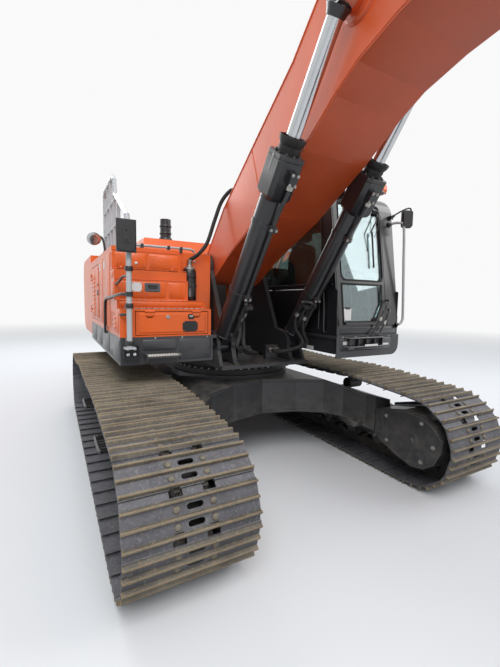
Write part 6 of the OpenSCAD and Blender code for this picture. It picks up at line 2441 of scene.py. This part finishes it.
    def roof(self) -> None:
        """Makes the lamps' bezels and lenses, the sun visor and the roof's pressings."""
        bezel, lens, visor, fields = shapes(4)
        for x in (769, 1159):
            start, end = (x, 1214, 2970), (x, 1234, 2970)
            bezel.lathe(start, end, [(-4, 44), (8, 46), (16, 44), (16, 37), (6, 36)], 36)
            lens.lathe(start, end, [(-4, 36), (6, 36), (12, 30), (15, 16)], 36)
            for k in range(5):
                bezel.box((x - 40, x + 40), (1140 - 14 * k, 1145 - 14 * k), (2934, 3006))
            bezel.box((x - 12, x + 12), (1168, 1196), (2904, 2934))
        visor.bend([(660, 1150, 3030), (700, 1250, 3012), (1000, 1262, 3010),
                    (1300, 1250, 3012), (1340, 1150, 3030)], 8, 12, 10)
        top = top_face(self.roof_z)
        top.pressed(fields, (690, 1310), (-330, 300), 60, 8, 12)
        top.pressed(fields, (690, 1310), (360, 1110), 60, 8, 12)
        for x, f in ((700, -300), (1300, -300), (700, 1080), (1300, 1080)):
            top.dome(fields, x + (12 if x < 1000 else -12), f, 9, 8)
        make_all("upper", [
            (bezel, "cab_lamp_bezels", PLASTIC, 1), (lens, "cab_lamp_lenses", LENS),
            (visor, "roof_guard_bar", CAB), (fields, "roof_pressings", ORANGE)])

    def door(self) -> None:
        """Makes the door's seal, pressing, handle, hinges and inner pull."""
        face = side_face(self.far_x)
        seal, field, handle, hinge = shapes(4)
        self.seal(seal, face, rounded((210, 1150), (1960, 2780), 50))
        face.pressed(field, (160, 1210), (1530, 1900), 40, 5, 7)
        face.pad(handle, (1080, 1200), (1880, 1948), 14, -1, 8)
        handle.bend([(self.far_x + 6, 1096, 1914), (self.far_x + 34, 1104, 1914),
                     (self.far_x + 38, 1140, 1914), (self.far_x + 34, 1176, 1914),
                     (self.far_x + 6, 1184, 1914)], 5, 9, 10)
        for z in (1640, 2240, 2700):
            face.leaf(hinge, (126, 196), z, 30, (170, 14), 8)
        face.pad(hinge, (820, 1060), (2140, 2160), 6, -1, 5)
        make_all("cab_door", [
            (seal, "door_pane_seal", CUP), (field, "door_pressing", CAB),
            (handle, "door_handle", PLASTIC), (hinge, "door_hinge_leaves", CAB, 0.6)])

    def inside(self) -> None:
        """Makes the mat, pedals, monitor, levers, tubes and trim that show through the glass."""
        mat, pedals, screen, levers, boots, tubes = shapes(6)
        floor = top_face(self.floor_z)
        floor.pad(mat, (610, 1440), (-200, 1330), 30, 0, 8)
        for k in range(24):
            mat.box((640, 1410), (760 + 22 * k, 768 + 22 * k), (1439, 1444))
        for x in (self.seat_x - 120, self.seat_x + 120):
            pedals.box((x - 55, x + 55), (1040, 1052), (1470, 1640))
            for k in range(6):
                pedals.box((x - 50, x + 50), (1034, 1042), (1484 + 26 * k, 1492 + 26 * k))
            levers.bend([(x, 1060, 1480), (x, 1000, 1700), (x, 960, 1900),
                         (x, 940, 2040)], 6, 9, 10)
            boots.lathe((x, 940, 2030), (x, 925, 2140), [(0, 12), (4, 18), (30, 20), (80, 17),
                                                       (104, 19), (110, 10)], 20)
            boots.lathe((x, 1064, 1440), (x, 1050, 1520), [(0, 44), (16, 40), (20, 34), (36, 30),
                                                         (40, 24), (60, 18), (76, 12)], 24)
        for s in (-1, 1):
            x = self.seat_x + s * 315
            levers.tube([(x, 640, 2058), (x, 652, 2150)], 9, 10)
            boots.lathe((x, 640, 2056), (x, 648, 2120), [(0, 40), (10, 38), (14, 30), (28, 28),
                                                       (32, 22), (48, 18), (62, 12)], 24)
            boots.lathe((x, 652, 2140), (x, 664, 2270),
                        [(0, 14), (6, 20), (40, 22), (80, 19), (110, 24), (124, 22),
                         (130, 12)], 20)
            boots.box((x - 38, x + 38), (250, 560), (2060, 2092))
        slab = Face((690, 1120, 2120), (0.8, -0.6, 0), (0, 0, 1), (-0.6, -0.8, 0))
        slab.pad(screen, (-110, 110), (-80, 80), 14, 0, 30)
        screen.tube([(680, 1140, 1900), (684, 1140, 2080)], 12, 10)
        tubes.bend([(1180, 1250, 1440), (1180, 1240, 1700), (1150, 1180, 2050),
                    (1060, 1150, 2120), (880, 1150, 2120), (840, 1180, 2060),
                    (820, 1230, 1960)], 8, 11, 12)
        glow = Shape()
        slab.pad(glow, (-96, 96), (-66, 66), 6, 30, 31)
        make_all("upper", [
            (mat, "floor_mat", CUP), (pedals, "pedals", BLACK, 2),
            (screen, "monitor", PLASTIC, 2, "console_plastic"),
            (glow, "monitor_pane", TRIM, 0, "cab_glass"), (levers, "levers", PLATED),
            (boots, "lever_grips", PLASTIC, 2, "console_plastic"), (tubes, "inner_rail", RAIL)])

    def seat(self) -> None:
        """Makes the padded seat on its base."""
        x0, base, welt = self.seat_x, Shape(), Shape()
        cushion, back, head = shapes(3)
        for shape, face, a, b, depth, lift in (
                (cushion, top_face(1868), (x0 - 222, x0 + 222), (222, 684), 92, 14),
                (back, front_face(100), (x0 - 214, x0 + 214), (1960, 2540), 84, 12),
                (head, front_face(116), (x0 - 130, x0 + 130), (2580, 2724), 62, 8)):
            rings = []
            for t, inset in ((0, 26), (0.04, 12), (0.2, 2), (0.5, 0), (0.8, 3), (0.95, 14),
                             (1.0, 30)):
                ring = rounded((a[0] + inset, a[1] - inset), (b[0] + inset, b[1] - inset),
                               max(20.0, 70 - inset))
                rings.append(shape.loop([face.at(x, y, depth * t) for x, y in ring]))
            ring = rounded((a[0] + 110, a[1] - 110), (b[0] + 60, b[1] - 60), 20)
            rings.append(shape.loop([face.at(x, y, depth + lift) for x, y in ring]))
            shape.skin(rings)
            edge = rounded((a[0] + 2, a[1] - 2), (b[0] + 2, b[1] - 2), 68)
            welt.tube([face.at(x, y, depth * 0.78) for x, y in [*edge, edge[0]]], 4, 8)
        for shape, name, cap in ((cushion, "seat_cushion", 14), (back, "seat_back", 14),
                                 (head, "seat_head", 10)):
            pad = pillow(shape, cap).make(name, "upper", CLOTH, replaces=("seat",))
            soft = pad.modifiers.new("finer", "SUBSURF")
            soft.levels = soft.render_levels = 1
        welt.make("seat_piping", "upper", CLOTH)
        base.box((x0 - 190, x0 + 190), (230, 640), (1836, 1866))
        for k in range(6):
            base.top(rounded((x0 - 170 + 8 * (k % 2), x0 + 170 - 8 * (k % 2)),
                             (250 + 8 * (k % 2), 620 - 8 * (k % 2)), 26),
                     1700 + 23 * k, 1722 + 23 * k)
        base.box((x0 - 190, x0 + 190), (230, 640), (1440, 1700))
        base.box((x0 - 200, x0 + 200), (78, 100), (1900, 2560))
        for s in (-1, 1):
            base.rod((x0 + s * 60, 132, 2500), (x0 + s * 60, 140, 2620), 8, 12)
        base.make("seat_base", "upper", PLASTIC, 4, "console_plastic")


# Outlines of the boom's and the arm's upper and lower edges
BOOM_TOP: list[Point2] = [(0, 195), (570, 493), (1245, 715), (2020, 960), (2350, 1126),
                          (2600, 1200), (2900, 1230), (3200, 1205), (3500, 1120), (5600, 469),
                          (6180, 290)]
BOOM_LOW: list[Point2] = [(560, -65), (1310, 40), (1985, 211), (2380, 345), (2600, 395),
                          (2900, 400), (3300, 360), (5720, -86)]
ARM_TOP: list[Point2] = [(-700, 484), (250, 430), (600, 385), (1500, 232), (1900, 148),
                         (2480, 108)]
ARM_LOW: list[Point2] = [(-800, 235), (-250, -120), (250, -278), (900, -226), (2000, -152),
                         (2700, -108), (3080, -84)]


@dataclass
class Front:
    """Boom, arm and bucket: seams, pins, lines, hoses and wear parts."""
    boom_x: float = 322.0
    arm_x: float = 195.0
    bucket_w: float = 1420.0
    heel: Point2 = (-300.0, -172.0)
    heel_r: float = 540.0

    def build(self) -> None:
        """Makes every fitting of the front."""
        self.boom_seams()
        self.arm_seams()
        self.pins()
        self.boom_lines()
        self.bucket()

    @staticmethod
    def inset(path: list[Point2], d: float) -> list[Point2]:
        """Moves an open path sideways.

        Args:
            path: The path's points.
            d: How far, to its right.

        Returns:
            The moved path's points.
        """
        out = []
        for i, p in enumerate(path):
            a, b = path[max(i - 1, 0)], path[min(i + 1, len(path) - 1)]
            n = math.hypot(b[0] - a[0], b[1] - a[1])
            out.append((p[0] + (b[1] - a[1]) / n * d, p[1] - (b[0] - a[0]) / n * d))
        return out

    def boom_seams(self) -> None:
        """Makes the boom's welds, butt seams, boss rings and blank plates."""
        welds, rings, plates = shapes(3)
        for s in (-1, 1):
            x = s * (self.boom_x + 0.5)
            for path, bead in ((self.inset(BOOM_TOP, 16), 6.5), (self.inset(BOOM_LOW, -16), 4)):
                welds.weld([(x, *on_boom(p)) for p in path], bead, 24)
            for a, b in (((1290, 706), (1330, 62)), ((3380, 1130), (3330, 372)),
                         ((5260, 548), (5060, 58))):
                welds.weld([(x, *on_boom(a)), (x, *on_boom(b))], 4.5, 24)
            eye = on_boom((2693, 757))
            rings.lathe((x - s, *eye), (x + s * 40, *eye), [(0, 138), (8, 138), (16, 128),
                                                            (16, 100), (22, 97)], 48)
            welds.weld([(x, eye[0] + 141 * math.cos(t), eye[1] + 141 * math.sin(t)) for t in
                        (math.tau * i / 40 for i in range(41))], 6, 24)
            face = side_face(x)
            a = on_boom((4300, 470))
            # The plate lies along the boom's upper edge
            (u0, w0), (u1, w1) = BOOM_TOP[8:10]
            turn_by = math.atan2(w1 - w0, u1 - u0) + BOOM_REST
            outline = [turned(p, turn_by) for p in rounded((-150, 150), (-56, 56), 16)]
            face.slab(plates, [(a[0] + p[0], a[1] + p[1]) for p in outline], -1, 2)
            for end in (-130, 130):
                q = turned((end, 0), turn_by)
                face.dome(rings, a[0] + q[0], a[1] + q[1], 8, 2)
        make_all("boom", [
            (welds, "boom_welds", BOOM_ORANGE), (rings, "boom_bosses", BOOM_ORANGE),
            (plates, "boom_blank_plates", BOOM_ORANGE, 1)])

    def arm_seams(self) -> None:
        """Makes the arm's welds, butt seams and boss rings."""
        welds, rings = shapes(2)
        for s in (-1, 1):
            x = s * (self.arm_x + 0.5)
            # No bead where the boom's cheeks and the bucket's ears turn
            under = self.inset(ARM_LOW, -15)
            for path in (self.inset(ARM_TOP, 15), [(560, -238), *under[3:-1]]):
                welds.weld([(x, *on_arm(p)) for p in path], 6, 24)
            for a, b in (((620, 372), (700, -244)), ((1700, 184), (1660, -166))):
                welds.weld([(x, *on_arm(a)), (x, *on_arm(b))], 4, 24)
            for p, r in (((2569, 60), 58), ((3200, 0), 68)):
                q = on_arm(p)
                rings.lathe((x - s, *q), (x + s * 4, *q), [(0, r + 8), (1.5, r + 8), (4, r + 4),
                                                          (4, r - 4)], 40)
        make_all("arm", [
            (welds, "arm_welds", BOOM_ORANGE), (rings, "arm_bosses", BOOM_ORANGE)])

    def cap(self, cover: Shape, steel: Shape, x: float, place: Point2, r: float) -> None:
        """Adds a pin's end cap with its keeper, bolt and grease nipple.

        Args:
            cover: The shape that gets the painted keeper.
            steel: The shape that gets the bright bits.
            x: Where the pin ends across.
            place: The pin's (forward, up).
            r: The pin's radius.
        """
        s = 1 if x > 0 else -1
        cover.lathe((x, *place), (x + s * 12, *place), [(-2, r - 6), (4, r - 4), (8, r - 10),
                                                        (8, r * 0.45), (5, r * 0.4)], 36)
        for k in range(3):
            t = math.radians(90 + 120 * k)
            steel.bolt((x + s * 7, place[0] + 0.68 * r * math.cos(t),
                        place[1] + 0.68 * r * math.sin(t)), (s, 0, 0), max(14, r * 0.26), 8)
        steel.lathe((x + s * 5, *place), (x + s * 24, *place),
                    [(0, 7), (6, 7), (6, 4.5), (13, 4.5), (15, 3)], 10)

    def pins(self) -> None:
        """Makes the caps on every pin of the front."""
        foot, tip = BOOM_FOOT, BOOM_TIP
        table = (("upper", 388.0, foot, 55.0), ("boom", 334.0, tip, 55.0),
                 ("boom", 169.5, on_boom((3350, 1360)), 50.0),
                 ("bucket", 271.0, on_arm((ARM_L, 0)), 47.5),
                 ("bucket", 271.0, on_arm((3133.9, 482.5)), 75.0),
                 ("rocker", 261.0, on_arm((2490.2, 556.8)), 42.5))
        shapes: dict[str, tuple[Shape, Shape]] = {}
        for body, x, place, r in table:
            cover, steel = shapes.setdefault(body, (Shape(), Shape()))
            for s in (-1, 1):
                self.cap(cover, steel, s * x, place, r)
        for body, (cover, steel) in shapes.items():
            make_all(body, [
                (cover, f"{body}_pin_caps", CHARCOAL, 0, "bearing_steel"),
                (steel, f"{body}_pin_bolts", PLATED)])

    def boom_lines(self) -> None:
        """Makes the lower ends of the boom's lines, their clamps and the hoses to the frame."""
        pipes, clamps = shapes(2)
        for x in (-230, -180, 180, 230):
            path = [on_boom(p) for p in ((1262, 744), (1100, 692), (900, 628), (800, 596))]
            pipes.tube([(x, *p) for p in path], 15, 14)
            a, b = on_boom((860, 615)), on_boom((800, 596))
            pipes.lathe((x, *a), (x, *b), [(0, 16), (0, 23), (26, 23), (30, 19), (46, 19),
                                           (46, 24), (64, 24)], 6)
        # The clamps stand on the edge between the boom's second and third corner
        u0 = BOOM_TOP[1]
        for s in (-1, 1):
            for k in (960, 1190):
                way = math.atan2(222, 675) + BOOM_REST
                c = on_boom((k, u0[1] + (k - u0[0]) * 0.3289))
                outline = [turned(p, way) for p in ((-22, -1), (22, -1), (22, 44), (16, 50),
                                                    (-16, 50), (-22, 44))]
                clamps.side([(c[0] + p[0], c[1] + p[1]) for p in outline],
                            *sorted((s * 155, s * 255)))
                for x in (168, 205, 242):
                    n = turned((0, 50), way)
                    clamps.bolt((s * x, c[0] + n[0], c[1] + n[1]), (0, *turned((0, 1), way)),
                                16, 9)
        make_all("boom", [
            (pipes, "boom_line_ends", LINES),
            (clamps, "boom_line_clamps", CHARCOAL, 1.5, "line_steel")])
        far = on_boom((806, 598))
        near = [(-668, 326, 2160), (-660, 338, 2205), (-590, 390, 2262), (-500, 428, 2390),
                (-420, 446, 2640), (-350, 478, 2850), (-268, 548, 2962),
                (-232, *on_boom((752, 582))), (-230, *far)]
        Hose("boom_hose_near", near, 21).build("upper", ("upper", "boom"))
        for i, x in enumerate((180, 230)):
            z = 1560 + 46 * i
            points = [(310, -560 - 60 * i, z), (292, -566 - 60 * i, z + 60),
                      (x + 30, -480 - 40 * i, z + 420), (x + 8, -300, 2420 + 30 * i),
                      (x, 0, 2640 + 20 * i), (x, 360, 2800 + 10 * i),
                      (x, *on_boom((720, 590))), (x, *far)]
            Hose(f"boom_hose_far_{i + 1}", points, 19).build("upper", ("upper", "boom"))

    def bucket(self) -> None:
        """Makes the bucket's cutters, wear strips, tooth adapters, pins, bolts and welds."""
        o = on_arm((ARM_L, 0))
        half = self.bucket_w / 2
        cutters, strips, adapters, pins, bolts, welds = shapes(6)

        def place(p: Point2) -> Point2:
            """Returns the (forward, up) of a point given from the bucket's pin."""
            return (o[0] + p[0], o[1] + p[1])
        for s in (-1, 1):
            outline = [place(p) for p in ((-1112, -694), (-990, -548), (-700, -450), (-660, -500),
                                          (-900, -590), (-930, -690))]
            cutters.side(outline, *sorted((s * half, s * (half + 26))))
            for p in ((-1010, -640), (-930, -590), (-820, -520), (-730, -490)):
                bolts.bolt((s * (half + 26), *place(p)), (s, 0, 0), 30, 18)
            path = [place(p) for p in ((-970, -548), (-330, -318), (-100, -142), (50, -118))]
            welds.bend([(s * (half - 12), *p) for p in path], 4, 15, 10)
            welds.weld([(s * (half + 1), *place((self.heel[0] + (self.heel_r - 12) * math.cos(t),
                                                 self.heel[1] + (self.heel_r - 12) * math.sin(t))))
                        for t in (math.radians(-90 + 100 * i / 24) for i in range(25))], 6, 24)
            strips.side([place(p) for p in ((-900, -702), (-340, -702), (-340, -640), (-380, -620),
                                            (-860, -620), (-900, -650))],
                        *sorted((s * half, s * (half + 14))))
            for p in ((-860, -660), (-620, -660), (-380, -660)):
                bolts.bolt((s * (half + 14), *place(p)), (s, 0, 0), 26, 10)
        for x in (-520, -180, 180, 520):
            outer, inner = [], []
            for i in range(13):
                t = math.radians(-90 + 92 * i / 12)
                for ring, r in ((outer, self.heel_r + 16), (inner, self.heel_r - 1)):
                    ring.append(place((self.heel[0] + r * math.cos(t),
                                       self.heel[1] + r * math.sin(t))))
            strips.side([place((-860, -728)), *outer, *reversed(inner), place((-880, -711))],
                        x - 45, x + 45)
        for i in range(5):
            x = -half + 90 + i * (self.bucket_w - 180) / 4
            adapters.side([place(p) for p in ((-1196, -658), (-1188, -644), (-1120, -636),
                                              (-960, -646), (-930, -671), (-1196, -674))],
                          x - 52, x + 52)
            adapters.side([place(p) for p in ((-1196, -712), (-930, -711), (-960, -730),
                                              (-1120, -742), (-1196, -726))], x - 52, x + 52)
            adapters.side([place(p) for p in ((-1232, -640), (-1180, -632), (-1180, -724),
                                              (-1232, -718))], x - 58, x + 58)
            pins.rod((x - 62, *place((-1224, -678))), (x + 62, *place((-1224, -678))), 14, 16)
        for s in (-1, 1):
            for x in (201, 251):
                welds.weld([(s * x, *place(p)) for p in ((236, -170), (140, -146), (60, -122),
                                                         (-84, -146))], 7, 22)
        make_all("bucket", [
            (cutters, "bucket_side_cutters", BARE, 3), (strips, "bucket_wear_strips", BUCKET, 3),
            (adapters, "bucket_tooth_adapters", BARE, 5),
            (pins, "bucket_tooth_pins", GEAR, 0, "tooth_steel"),
            (bolts, "bucket_bolts", PLATED), (welds, "bucket_welds", BUCKET)])


# The CAD nodes that each finish covers
COVERED: dict[Finish, str] = {
    CHARCOAL: "car_body track_frames main_frame",
    GEAR: "idlers sprockets rollers swing_bearing engine_block",
    SKIRT: "deck",
    ORANGE: "counterweight engine_hood left_housing right_housing left_door right_door "
            "tool_box tool_box_door cab_roof",
    RAIL: "handrails",
    BLACK: "exhaust",
    CAB: "cab_shell cab_door",
    GLASS: "cab_glass door_glass",
    CLOTH: "seat",
    PLASTIC: "consoles cab_fittings",
    BOOM_ORANGE: "boom arm rocker bucket_link",
    LINES: "boom_lines",
    BARREL: "boom_cylinder_left boom_cylinder_right arm_cylinder bucket_cylinder",
    CHROME: "boom_rod_left boom_rod_right arm_rod bucket_rod",
    BUCKET: "bucket",
    BARE: "bucket_teeth",
}


def dress_nodes(nodes: dict[str, bpy.types.Object]) -> None:
    """Gives each carried-over CAD node its finish.

    Args:
        nodes: The carried-over objects by their nodes' names.
    """
    finishes = {node: finish for finish, covered in COVERED.items() for node in covered.split()}
    for name, obj in nodes.items():
        finish = finishes.get(name)
        if finish is None:
            continue
        for entry in obj.material_slots:
            entry.material = finish.material()
        LOG.info("%s: %s", name, finish.name)


def main(frame: dict) -> None:
    """Builds and dresses the machine's sub-assemblies in order.
    """
    logging.basicConfig(level=logging.INFO, format="%(message)s")
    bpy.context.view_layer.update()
    Stage().build()
    dress_nodes(frame["nodes"])
    for part in (Hydraulics(), Undercarriage(), Upper(), Cab(), Front()):
        part.build()


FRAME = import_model()

if __name__ == "__main__":
    main(FRAME)
